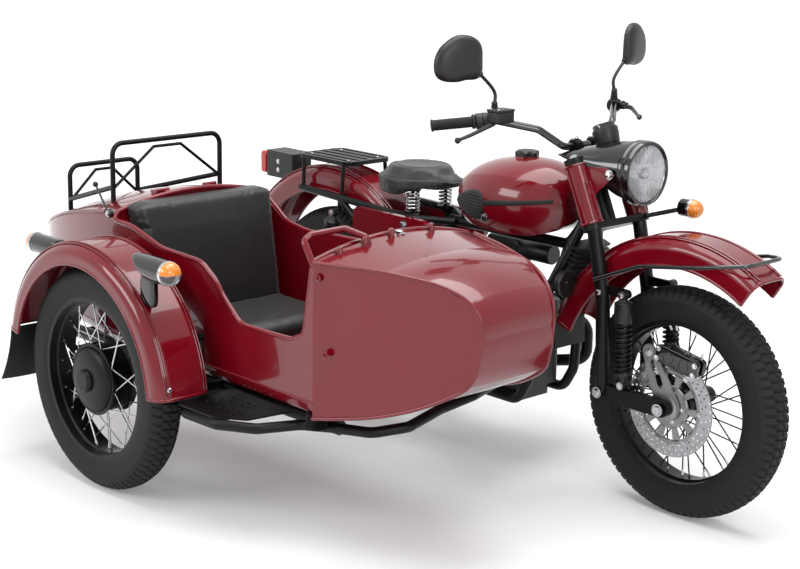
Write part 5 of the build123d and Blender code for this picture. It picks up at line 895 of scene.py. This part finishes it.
def filled(path, step=0.03, closed=True):
    """More points along the straight stretches, so that cutting a corner stays small."""
    path = np.array(path, float)
    stretches = list(zip(path, np.roll(path, -1, 0) if closed else path[1:]))
    points = [a + (b - a) * t for a, b in stretches
              for t in np.linspace(0, 1, max(2, int(np.linalg.norm(b - a) / step)), endpoint=False)]
    return np.array(points if closed else points + [path[-1]])


def fender_bead(axle, radius, half, skirt, shoulder, front, rear):
    """The free edge of a fender: along one side, across the crown at the heel, back, and across the tip."""
    corner = np.linspace(0, np.pi / 2, 6)
    across = np.concatenate([[half], half - shoulder * (1 - np.cos(corner)),
                             -half + shoulder * (1 - np.cos(corner[::-1])), [-half]])
    reach = np.concatenate([[radius - skirt], radius - shoulder * (1 - np.sin(corner)),
                            radius - shoulder * (1 - np.sin(corner[::-1])), [radius - skirt]])
    turn = np.radians(np.arange(front, rear + 0.01, 3.0))
    loop = [(radius - skirt, half, t) for t in turn] + [(r, a, turn[-1]) for r, a in zip(reach, across)]
    loop += [(radius - skirt, -half, t) for t in turn[::-1]]
    loop += [(r, a, turn[0]) for r, a in zip(reach[::-1], across[::-1])]
    r, a, t = np.array(loop).T
    return axle + np.stack([r * np.cos(t), a, r * np.sin(t)], 1)


fenders = {"front": (0.485, 0.076, 0.078, 57, 160, "steering"), "rear": (0.485, 0.076, 0.078, 42, 152, "chassis"),
           "sidecar": (0.410, 0.090, 0.062, 5, 168, "chassis")}
for name, (radius, half, skirt, front, rear, body) in fenders.items():
    beads = [sweep(eased(fender_bead(axles[name], radius, half - 0.002, skirt, 0.040, front, rear)), 0.0048, 10,
                   closed=True)]
    turn = np.radians(np.arange(front + 1, rear - 0.9, 2.0))
    for across in (-1, 1):
        place = (half - 0.030) * across
        for offset, lift in ((0, 0.0008), (0.010 * across, 0.0002)):
            reach = radius + lift - 0.0022 * (offset != 0)
            beads.append(sweep(axles[name] + np.stack([reach * np.cos(turn), np.full_like(turn, place + offset),
                                                       reach * np.sin(turn)], 1), 0.0026, 8))
    piece(name + "_fender_beads", joined(*beads), red_paint, body)

hull_middle, hull_half, deck_z = -0.3155, 0.300, 0.807
right_edge = [(-564, 771), (-470, 767), (-325, 726), (-130, 720), (-64, 679), (-28, 637), (52, 573), (270, 577),
              (325, 602), (356, 795)]
left_edge = [(-564, 773), (-462, 706), (-362, 693), (-195, 701), (132, 710), (295, 750), (356, 795)]
span = np.linspace(-1, 1, 13)


def deck_arc(x, high, half=0.284):
    """The crown across the deck at one place: a shallow arc, as height = high + rise * (1 - share^2)."""
    return [(x, hull_middle + s * half, high + 0.040 * (1 - s * s)) for s in span]


wall = hull_half - 0.006
rim = [(x / 1000, hull_middle - wall, z / 1000) for x, z in right_edge] + deck_arc(0.356, 0.808)
rim += [(x / 1000, hull_middle + wall, z / 1000) for x, z in left_edge[::-1]] + deck_arc(-0.564, 0.7945)[::-1]
piece("cockpit_bead", sweep(eased(filled(rim, 0.055), times=3), 0.0076, 12, closed=True), red_paint, "chassis")
crease = np.array([(366, 807), (524, 807), (631, 800), (711, 790), (773, 767), (816, 722), (825, 675), (821, 629),
                   (810, 570), (785, 529), (718, 486), (643, 449), (557, 418), (473, 398), (366, 379)]) / 1000
tail = np.array([(-623, 0.97, 0.98), (-868, 0.86, 0.925), (-1051.6, 0.70, 0.86), (-1170, 0.52, 0.805)])
lines = []
for side in (-1, 1):
    half = hull_half - 0.368 * (crease[:, 0] - 0.366)
    nose = np.stack([crease[:, 0], hull_middle + side * (half + 0.001), crease[:, 1]], 1)
    lines.append(sweep(smooth_path(nose, 6), 0.0050, 10))
    deck = np.stack([tail[:, 0] / 1000, hull_middle + side * (hull_half * tail[:, 1] - 0.002),
                     deck_z * tail[:, 2] - 0.002], 1)
    lines.append(sweep(smooth_path(deck, 8), 0.0045, 10))
    low = np.array([(366, 300, 423), (-113, 300, 423), (-358, 300, 423), (-623, 291, 424), (-868, 258, 433),
                    (-1051, 210, 462), (-1172, 150, 521)]) / 1000
    lines.append(sweep(smooth_path(np.stack([low[:, 0], hull_middle + side * (low[:, 1] - 0.001), low[:, 2]], 1), 6),
                       0.0040, 10))
piece("hull_flanges", joined(*lines), red_paint, "chassis")

# %% [markdown]
# Tank trim
#
# A rubber pad and a strip lie on each side of the tank and follow its belly. Rays are cast from outside onto
# the CAD surface on a grid of places, and the pad's own thickness and ribs are added to where they land.

# %% Tank trim
tank_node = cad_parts["fuel_tank"]
tank_tree = BVHTree.FromPolygons([v.co for v in tank_node.data.vertices],
                                 [tuple(p.vertices) for p in tank_node.data.polygons])


def laid_on_tank(side, x, z, lift):
    """Grid places in the x-z plane, moved in from one side to the tank's surface and out again by a lift."""
    hits = [tank_tree.ray_cast(Vector((a, bike_middle + side * 0.4, b)), Vector((0, -side, 0)))[0]
            for a, b in zip(x.ravel(), z.ravel())]
    reach = np.array([h.y if h else bike_middle for h in hits]).reshape(x.shape)
    return np.stack([x, reach + side * lift, z], -1)


pads, strips = [], []
for side in (-1, 1):
    u = np.linspace(0, 1, 60)[:, None]
    v = np.linspace(-1, 1, 41)[None]
    taper = (np.abs(u - 0.72) / np.where(u < 0.72, 0.72, 0.28)) ** np.where(u < 0.72, 1.7, 4.0)
    high = 0.0460 * np.clip(1 - taper, 0, 1) ** 0.8
    x = 0.002 + 0.166 * u + 0 * v
    z = 0.826 - 0.010 * (1 - u) + v * high
    edge = np.clip((1 - np.abs(v)) * high / 0.008, 0, 1) * np.clip(np.minimum(u, 1 - u) / 0.03, 0, 1)
    ribs = 0.0011 * np.cos(2 * np.pi * (z - 0.826) / 0.0095) * np.clip(edge * 2 - 1, 0, 1)
    front_face = laid_on_tank(side, x, z, -0.001 + (0.0070 * np.sqrt(edge) + ribs))
    back_face = front_face.copy()
    back_face[..., 1] = laid_on_tank(side, x, z, -0.0015)[..., 1]
    pads.append(grid_part(np.concatenate([front_face, back_face[:, ::-1]], 1), wrap_columns=True, cap=True))
    u = np.linspace(0, 1, 50)[:, None]
    v = np.linspace(-1, 1, 9)[None]
    x, z = -0.004 + 0.386 * u + 0 * v, 0.815 + 0.048 * u + v * 0.0110 * (1 - 0.35 * u)
    face = laid_on_tank(side, x, z, 0.0024 * (1 - v ** 4) - 0.0005)
    under = laid_on_tank(side, x, z, -0.0015)
    strips.append(grid_part(np.concatenate([face, under[:, ::-1]], 1), wrap_columns=True, cap=True))
piece("tank_pads", joined(*pads), soft_rubber, "chassis", ["knee_pads"])
piece("tank_strips", joined(*strips), soft_rubber, "chassis")
domes = [lathe((0.169, bike_middle + side * 0.1570, 0.792), (0, side, 0),
               [(0, 0), (0, 0.0135), (0.004, 0.0128), (0.007, 0.0100), (0.009, 0.0055), (0.0095, 0)], 32)
         for side in (-1, 1)]
piece("tank_domes", joined(*domes), gloss_black, "chassis")
cap_foot = np.array([0.1908, bike_middle, 0.958])
neck_ring = lathe(cap_foot, (0, 0, 1), [(-0.012, 0.0280), (-0.012, 0.0420), (0.002, 0.0400), (0.008, 0.0350),
                                        (0.010, 0.0280)], 64, ring=True)
piece("cap_neck", neck_ring, red_paint, "chassis")
cap_turn = np.linspace(0, 2 * np.pi, 168, endpoint=False)[None]
cap_along = np.array([0.0, 0.008, 0.0085, 0.021, 0.0245, 0.0262, 0.0262, 0.0245, 0.0262, 0.0262])[:, None]
cap_radius = np.array([0.0, 0.0, 0.0345, 0.0350, 0.0320, 0.0285, 0.0130, 0.0115, 0.0100, 0.0])[:, None]
gripped = ((cap_along > 0.008) & (cap_along < 0.0246)) & (cap_radius > 0.02)
cap_round = cap_radius * (1 + gripped * 0.10 * np.cos(6 * cap_turn))
piece("ribbed_cap", grid_part(cap_foot + np.stack([cap_round * np.cos(cap_turn), cap_round * np.sin(cap_turn),
                                                   cap_along + 0 * cap_turn], -1), wrap_columns=True),
      black_plastic, "chassis", ["fuel_cap"])

# %% [markdown]
# Engine bay
#
# Behind the fork sit the black parts that fill the view under the tank: a finned regulator across the two
# front frame tubes, a horn on a stay, plug caps, and at each cylinder a carburettor, an intake pipe and an
# air box. The air boxes stand at the sides, because the space between engine and backbone is open.

# %% Engine bay
tilt = np.radians(17)
down, out_front = np.array([-np.sin(tilt), 0, -np.cos(tilt)]), np.array([np.cos(tilt), 0, -np.sin(tilt)])
fins = []
for step in range(9):
    middle = np.array([0.452, bike_middle, 0.735]) + down * 0.016 * step
    block, block_faces = pillow((0, 0, 0), (0.026, 0.078, 0.0032), 8.0, 8, 24)
    fins.append((block[:, :1] * out_front + block[:, 1:2] * np.array([0, 1.0, 0]) - block[:, 2:] * down + middle,
                 block_faces))
stay = [sweep([(0.426, bike_middle + side * 0.070, 0.727), (0.395, bike_middle + side * 0.078, 0.610)], 0.012, 12)
        for side in (-1, 1)]
piece("regulator", joined(*fins, *stay), engine_black, "chassis")
bay, bright_bay = [], []
for side in (-1, 1):
    hub = np.array([-0.020, bike_middle + side * 0.135, 0.455])
    bay.append(lathe(hub, (1, 0, 0), [(-0.070, 0), (-0.070, 0.024), (-0.066, 0.027), (-0.030, 0.027), (-0.028, 0.022),
                                      (0.030, 0.022), (0.032, 0.027), (0.040, 0.027), (0.042, 0.021), (0.080, 0.021),
                                      (0.080, 0)], 40))
    bay.append(lathe(hub, (0, 0, 1), [(-0.052, 0), (-0.052, 0.018), (-0.046, 0.024), (0.020, 0.024), (0.024, 0.020),
                                      (0.060, 0.020), (0.066, 0.014), (0.066, 0)], 40))
    pipe = [hub + [0.075, 0, 0], hub + [0.105, side * 0.012, -0.012], hub + [0.128, side * 0.050, -0.030]]
    bay.append(sweep(smooth_path(pipe, 8), 0.0195, 20))
    bright_bay.append(lathe(hub + [-0.068, 0, 0], (1, 0, 0), [(0.012, 0.0265), (0.012, 0.0285), (0.020, 0.0285),
                                                             (0.020, 0.0265)], 40, ring=True))
    plug = np.array([0.150, bike_middle + side * 0.262, 0.486])
    bay.append(lathe(plug, (0.35, 0, 1), [(-0.01, 0), (-0.01, 0.009), (0.016, 0.009), (0.018, 0.013), (0.046, 0.012),
                                          (0.052, 0.007), (0.052, 0)], 24))
horn = np.array([0.452, bike_middle - 0.096, 0.628])
bay.append(lathe(horn, (1, 0, 0), [(-0.030, 0), (-0.030, 0.018), (-0.018, 0.022), (-0.014, 0.040), (0.004, 0.042),
                                   (0.008, 0.038), (0.006, 0.012), (0.010, 0.010), (0.010, 0)], 48))
bay.append(sweep([horn + [-0.026, 0, 0], (0.408, bike_middle - 0.096, 0.640)], 0.010, 12))
for side in (-1, 1):
    box = np.array([0.015, bike_middle + side * 0.120, 0.620])
    bay.append(pillow(box, (0.075, 0.034, 0.056), 7.0, 24, 40))
    snorkel = [(0, 0), (0, 0.030), (0.004, 0.032), (0.120, 0.032), (0.124, 0.029), (0.124, 0)]
    bay.append(lathe(box + [0.070, 0, 0.022], (1, 0, 0), snorkel, 40))
    hose = [box + [-0.030, 0, -0.045], box + [-0.062, side * 0.012, -0.085],
            (-0.086, bike_middle + side * 0.135, 0.500), (-0.088, bike_middle + side * 0.135, 0.458)]
    bay.append(sweep(smooth_path(hose, 8), 0.022, 20))
piece("bay_parts", joined(*bay), black_plastic, "chassis")
piece("bay_clamps", joined(*bright_bay), bright_steel, "chassis")

# %% [markdown]
# Small fittings
#
# Bolts and buttons are small, but a bare panel looks unfinished without them. Each is a turned profile or a
# bolt, placed on the surface that carries it: buttons for the cover along the cockpit, the lid's lever with
# its ball, bolts on the fenders, the side covers and the frame's joints.

# %% Small fittings
fittings, red_fittings, black_fittings = [], [], []
for x, z in ((0.385, 0.769), (0.415, 0.567)):
    red_fittings.append(lathe((x, -0.6150, z), (0, -1, 0), [(0, 0), (0, 0.011), (0.004, 0.010), (0.005, 0.005),
                                                            (0.009, 0.006), (0.010, 0.004), (0.010, 0)], 28))
cover_buttons = [(0.392, -0.4575, 0.8370), (0.388, -0.3595, 0.8465), (0.384, -0.5400, 0.8180),
                 (0.388, -0.2100, 0.8420)]
for x, y, z in cover_buttons:
    red_fittings.append(lathe((x, y, z), (0, 0, 1), [(-0.004, 0), (-0.004, 0.010), (0.016, 0.009), (0.022, 0.006),
                                                     (0.023, 0)], 24))
    black_fittings.append(sweep([(x - 0.004, y - 0.015, z + 0.008), (x - 0.004, y + 0.015, z + 0.008)], 0.0022, 8))
fittings.append(bolt((0.372, -0.3155, 0.8475), (0, 0, 1), 0.012, 0.008))
lever_foot, lever_top = np.array([-0.587, -0.6135, 0.7880]), np.array([-0.652, -0.6180, 0.8680])
black_fittings.append(lathe(lever_foot, (0, -1, 0), [(-0.006, 0), (-0.006, 0.014), (0.006, 0.012), (0.006, 0)], 24))
black_fittings.append(sweep([lever_foot + [0, -0.003, 0], lever_top], 0.0032, 10))
black_fittings.append(pillow(lever_top, (0.0085, 0.0085, 0.0085), 2.0))
fittings.append(bolt(lever_foot + [0, -0.006, 0], (0, -1, 0), 0.007, 0.005))
for side in (-1, 1):
    fittings.append(bolt((-0.205, bike_middle + side * 0.1425, 0.705), (0, side, 0), 0.011, 0.008))
    fittings.append(bolt((0.600, bike_middle + side * 0.124, 0.636), (0, side, 0), 0.008, 0.006))
    fittings.append(bolt((-0.748, bike_middle + side * 0.066, 0.856), (0, 0, 1), 0.006, 0.004))
    fittings.append(bolt((-0.560, bike_middle + side * 0.066, 0.856), (0, 0, 1), 0.006, 0.004))
    fittings.append(bolt((-0.960, bike_middle + side * 0.0445, 0.800), (0, side, 0), 0.006, 0.004))
    fittings.append(bolt((-0.960, bike_middle + side * 0.0445, 0.770), (0, side, 0), 0.006, 0.004))
bead_turn = np.radians(9)
fittings.append(bolt(np.array([-0.429, -0.802, 0.338]) + [0.4105 * np.cos(bead_turn), 0, 0.4105 * np.sin(bead_turn)],
                     (np.cos(bead_turn), 0, np.sin(bead_turn)), 0.007, 0.005))
bellows = [(0.0, 0.0)] + [(0.002 + 0.0075 * k + d, r) for k in range(6) for d, r in ((0, 0.024), (0.0035, 0.030))]
black_fittings.append(lathe((0.335, -0.575, 0.333), (0, 0, 1), bellows + [(0.047, 0.024), (0.048, 0)], 40))
piece("bright_fittings", joined(*fittings), bright_steel, "chassis")
piece("red_fittings", joined(*red_fittings), red_paint, "chassis")
piece("black_fittings", joined(*black_fittings), black_plastic, "chassis")

# %% [markdown]
# Mud flap
#
# The sidecar's flap is a rubber sheet that flares backwards as it hangs: its distance back grows with the
# square of the way down, and both its faces are rows of the same grid.

# %% Mud flap
flap_down, flap_across = np.linspace(0, 1, 24)[:, None], np.linspace(-1, 1, 17)[None]
flap_half = 0.082 + 0.006 * flap_down
flap_x = -0.8135 - 0.050 * flap_down ** 2 - 0.012 * flap_across ** 2 * flap_down
flap_face = np.stack([flap_x, -0.7455 + flap_half * flap_across, 0.4210 - 0.178 * flap_down + 0 * flap_across], -1)
flap_back = flap_face + np.array([-0.005, 0, 0])
piece("curved_flap", grid_part(np.concatenate([flap_face, flap_back[:, ::-1]], 1), wrap_columns=True, cap=True),
      soft_rubber, "chassis", ["sidecar_flap"])

# %% [markdown]
# Saddle springs
#
# The saddle stands on two fat coil springs, each between two pressed cups. A post stands ahead of its nose.

# %% Saddle springs
spring_parts, cup_parts = [], []
for x, across in ((-0.234, -0.074), (-0.234, 0.074)):
    t = np.linspace(0, 1, 150)
    turn = 2 * np.pi * 5.5 * t
    swell = 0.0185 + 0.002 * np.sin(np.pi * t)
    spring_parts.append(sweep(np.stack([x + swell * np.cos(turn), bike_middle + across + swell * np.sin(turn),
                                        0.740 + 0.064 * t], 1), 0.0038, 10))
    for z, way in ((0.734, 1), (0.8118, -1)):
        cup_parts.append(lathe((x, bike_middle + across, z), (0, 0, way), [(0, 0), (0, 0.026), (0.006, 0.0265),
                                                                          (0.006, 0.024), (0.003, 0.012),
                                                                          (0.003, 0)], 40))
    cup_parts.append(lathe((x, bike_middle + across, 0.734), (0, 0, 1), [(0, 0), (0, 0.006), (0.077, 0.006),
                                                                        (0.077, 0)], 16))
cup_parts.append(lathe((-0.069, bike_middle, 0.735), (0, 0, 1), [(0, 0), (0, 0.0115), (0.020, 0.0115), (0.024, 0.008),
                                                                (0.060, 0.008), (0.064, 0.0115), (0.104, 0.0115),
                                                                (0.104, 0)], 28))
piece("saddle_coils", joined(*spring_parts), bright_steel, "chassis", ["saddle_springs"])
piece("saddle_cups", joined(*cup_parts), black_coat, "chassis")

# %% [markdown]
# Seats
#
# A vinyl cushion is a crowned closed form: it is tight at its seams and swells between them. The CAD solid
# is copied, the sidecar's two a little smaller, turned into an even skin, and blown up by a cloth simulation
# with pressure and no gravity. How far each point may move is capped, so that the pad stays clear of the tub. The seams come
# last, because the even skin would swallow them: each seam is a formula that presses the skin in.

# %% Padded seats
def groove(distance, width):
    """1 in the middle of a seam and 0 away from it."""
    return np.exp(-(distance / width) ** 2)


def saddle_seams(p):
    """A stitched ring in the top, pleats that run to the nose, and a seam round the side."""
    x, y, z = p[:, 0] + 0.286, p[:, 1] - bike_middle, p[:, 2]
    top = np.clip((z - 0.846) / 0.014, 0, 1)
    oval = np.hypot(np.where(x > 0, x / 0.105, x / 0.088), y / 0.088)
    ring = 0.0070 * groove(oval - 0.92, 0.060)
    dish = 0.0060 * np.clip(1 - oval ** 2, 0, 1)
    rim = np.clip((oval - 0.95) / 0.30, 0, 1)
    skirt = 0.020 * rim * np.clip((0.838 - z) / 0.022, 0, 1)
    fan = 0.5 + 0.5 * np.cos(9 * np.arctan2(y, 0.24 - x))
    pleats = 0.0060 * fan * np.clip((oval - 1.05) / 0.2, 0, 1) * (x > 0)
    moved = p.copy()
    lower, nose = np.clip((0.846 - z) / 0.030, 0, 1), np.clip((x - 0.010) / 0.170, 0, 1)
    moved[:, 2] += lower * 0.026 * nose - top * (ring + dish + pleats + 0.020 * rim ** 1.5) - skirt * (1 - nose)
    out = np.stack([x, y], 1) / np.maximum(np.hypot(x, y), 1e-6)[:, None]
    moved[:, :2] += (0.010 * np.clip((0.862 - z) / 0.05, 0, 1) * rim)[:, None] * out
    side = groove(z - 0.8475, 0.0030) * 0.0040
    moved[:, :2] -= out * side[:, None]
    return moved


def cushion_seams(p):
    """The cushion is crowned across and along, its front rolls down, and a welt runs round near its foot."""
    moved = p.copy()
    x, y, z = p[:, 0], p[:, 1] - hull_middle, p[:, 2]
    top = np.clip((z - 0.455) / 0.02, 0, 1)
    moved[:, 2] += top * (0.002 * (1 - (y / 0.236) ** 2) - 0.002 - 0.016 * np.clip((x + 0.150) / 0.055, 0, 1) ** 2)
    moved[:, 2] -= top * 0.0012 * np.sin(x * 70 + 3 * np.sin(y * 14)) * groove(x + 0.16, 0.06)
    moved[:, 0] -= 0.0035 * groove(z - 0.425, 0.0040) * (x > -0.14)
    return moved


def back_seams(p):
    """The back's top corners are rounded down, and a seam parts its front from the gusset at each side."""
    moved = p.copy()
    y, z = p[:, 1] - hull_middle, p[:, 2]
    front = np.clip((p[:, 0] + 0.545 - (0.80 - z) * 0.10) / 0.02, 0, 1)
    moved[:, 0] -= 0.0050 * front * groove(np.abs(y) - 0.252, 0.0042)
    crown = (1 - (y / 0.27) ** 2) * np.clip((z - 0.44) / 0.1, 0, 1) * np.clip((0.84 - z) / 0.1, 0, 1)
    moved[:, 0] += 0.0100 * front * crown
    corner = np.clip((np.abs(y) - 0.205) / 0.065, 0, 1) ** 2 * np.clip((z - 0.745) / 0.09, 0, 1)
    moved[:, 2] -= 0.030 * corner
    return moved


def stuffed(node, body, voxel, cap, shrink, seams):
    """A swollen copy of a CAD solid: remesh, pressure, capped movement, seams, one subdivision."""
    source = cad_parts[node]
    mesh = source.data.copy()
    pad = bpy.data.objects.new(node + "_padded", mesh)
    bpy.context.scene.collection.objects.link(pad)
    middle = np.mean([v.co for v in mesh.vertices], axis=0)
    mesh.transform(Matrix.Translation(middle) @ Matrix.Scale(shrink, 4) @ Matrix.Translation(-Vector(middle)))
    remesh = pad.modifiers.new("skin", "REMESH")
    remesh.mode, remesh.voxel_size = "VOXEL", voxel
    evaluated = pad.evaluated_get(bpy.context.evaluated_depsgraph_get())
    skin = bpy.data.meshes.new_from_object(evaluated)
    pad.modifiers.clear()
    pad.data = skin
    start = np.empty(len(skin.vertices) * 3)
    skin.vertices.foreach_get("co", start)
    start = start.reshape(-1, 3)
    cloth = pad.modifiers.new("pressure", "CLOTH")
    cloth.settings.use_pressure = True
    cloth.settings.uniform_pressure_force = 4.0
    cloth.settings.effector_weights.gravity = 0.0
    for step in range(1, 21):
        bpy.context.scene.frame_set(step)
    evaluated = pad.evaluated_get(bpy.context.evaluated_depsgraph_get())
    end = np.empty(len(skin.vertices) * 3)
    evaluated.data.vertices.foreach_get("co", end)
    move = end.reshape(-1, 3) - start
    size = np.linalg.norm(move, axis=1)[:, None]
    moved = start + move * np.minimum(1, cap / np.maximum(size, 1e-9))
    pad.modifiers.clear()
    bpy.context.scene.frame_set(1)
    start = moved
    skin.vertices.foreach_set("co", seams(start).ravel())
    skin.update()
    skin.materials.clear()
    skin.materials.append(black_vinyl)
    skin.shade_smooth()
    finer = pad.modifiers.new("finer", "SUBSURF")
    finer.levels = finer.render_levels = 1
    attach(pad, body)
    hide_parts(node)
    return pad


for node, cap, seams in (("seat_cushion", 0.005, cushion_seams), ("seat_back", 0.010, back_seams),
                         ("saddle", 0.009, saddle_seams)):
    pad = stuffed(node, "chassis", 0.0062, cap, 1.0 if node == "saddle" else 0.965, seams)
    print(node, "points:", len(pad.data.vertices))

# %% [markdown]
# Studio
#
# The object stands in a pale studio. A broad lamp above and two at the sides draw long soft reflections on
# the paint. The world lights gently, and shows white to the camera and to everything that mirrors it.

# %% Floor, lamps and world
floor_mesh = bpy.data.meshes.new("studio_floor")
reach = 30.0
floor_mesh.from_pydata([(-reach, -reach, 0), (reach, -reach, 0), (reach, reach, 0), (-reach, reach, 0)], [],
                       [(0, 1, 2, 3)])
floor = bpy.data.objects.new("studio_floor", floor_mesh)
bpy.context.scene.collection.objects.link(floor)
floor_finish = finish_of("studio_floor", (0.86, 0.86, 0.87), 0.985, 0.75, 0.05, 0.7, Emission_Color=(1, 1, 1, 1))
floor_mesh.materials.append(floor_finish)
floor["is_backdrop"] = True


def seen_directly(tree, low, high):
    """A number that is low for ordinary light, and high where the eye, a mirror or a glass looks."""
    rays = tree.nodes.new("ShaderNodeLightPath")
    total = rays.outputs["Is Camera Ray"]
    for kind in ("Is Glossy Ray", "Is Transmission Ray"):
        added = tree.nodes.new("ShaderNodeMath")
        added.operation = "ADD"
        added.use_clamp = True
        tree.links.new(total, added.inputs[0])
        tree.links.new(rays.outputs[kind], added.inputs[1])
        total = added.outputs["Value"]
    strength = tree.nodes.new("ShaderNodeMapRange")
    strength.inputs["To Min"].default_value, strength.inputs["To Max"].default_value = low, high
    tree.links.new(total, strength.inputs["Value"])
    return strength.outputs["Result"]


floor_tree = floor_finish.node_tree
floor_place, floor_reach = floor_tree.nodes.new("ShaderNodeTexCoord"), floor_tree.nodes.new("ShaderNodeVectorMath")
floor_reach.operation = "LENGTH"
floor_tree.links.new(floor_place.outputs["Object"], floor_reach.inputs[0])
far_glow = floor_tree.nodes.new("ShaderNodeMapRange")
for socket, value in (("From Min", 1.3), ("From Max", 6.0), ("To Min", 0.16), ("To Max", 0.75)):
    far_glow.inputs[socket].default_value = value
floor_tree.links.new(floor_reach.outputs["Value"], far_glow.inputs["Value"])
glow = floor_tree.nodes.new("ShaderNodeMath")
glow.operation = "MULTIPLY"
floor_tree.links.new(seen_directly(floor_tree, 0.0, 1.0), glow.inputs[0])
floor_tree.links.new(far_glow.outputs["Result"], glow.inputs[1])
floor_tree.links.new(glow.outputs["Value"], floor_tree.nodes["Principled BSDF"].inputs["Emission Strength"])


def softbox(name, place, target, size, power):
    """A rectangular lamp that faces a target."""
    lamp = bpy.data.lights.new(name, "AREA")
    lamp.shape, lamp.size, lamp.size_y, lamp.energy = "RECTANGLE", size[0], size[1], power
    holder = bpy.data.objects.new(name, lamp)
    holder.matrix_world = (Matrix.Translation(place)
                           @ (Vector(target) - Vector(place)).to_track_quat("-Z", "Y").to_matrix().to_4x4())
    bpy.context.scene.collection.objects.link(holder)


softbox("top_lamp", (0.2, 0.0, 4.2), (0, 0, 0.4), (4.5, 3.0), 190)
softbox("front_lamp", (4.2, -1.2, 2.4), (0.2, 0, 0.5), (1.4, 2.6), 60)
softbox("side_lamp", (-1.6, -4.6, 2.8), (-0.2, -0.3, 0.6), (3.0, 1.4), 90)

world = bpy.data.worlds.new("studio")
bpy.context.scene.world = world
world.use_nodes = True
background = world.node_tree.nodes["Background"]
background.inputs["Color"].default_value = (1, 1, 1, 1)
world.node_tree.links.new(seen_directly(world.node_tree, 0.45, 1.0), background.inputs["Strength"])
bpy.context.scene.view_settings.view_transform = "Standard"

# %% Bounds of the finished scene
low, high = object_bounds()
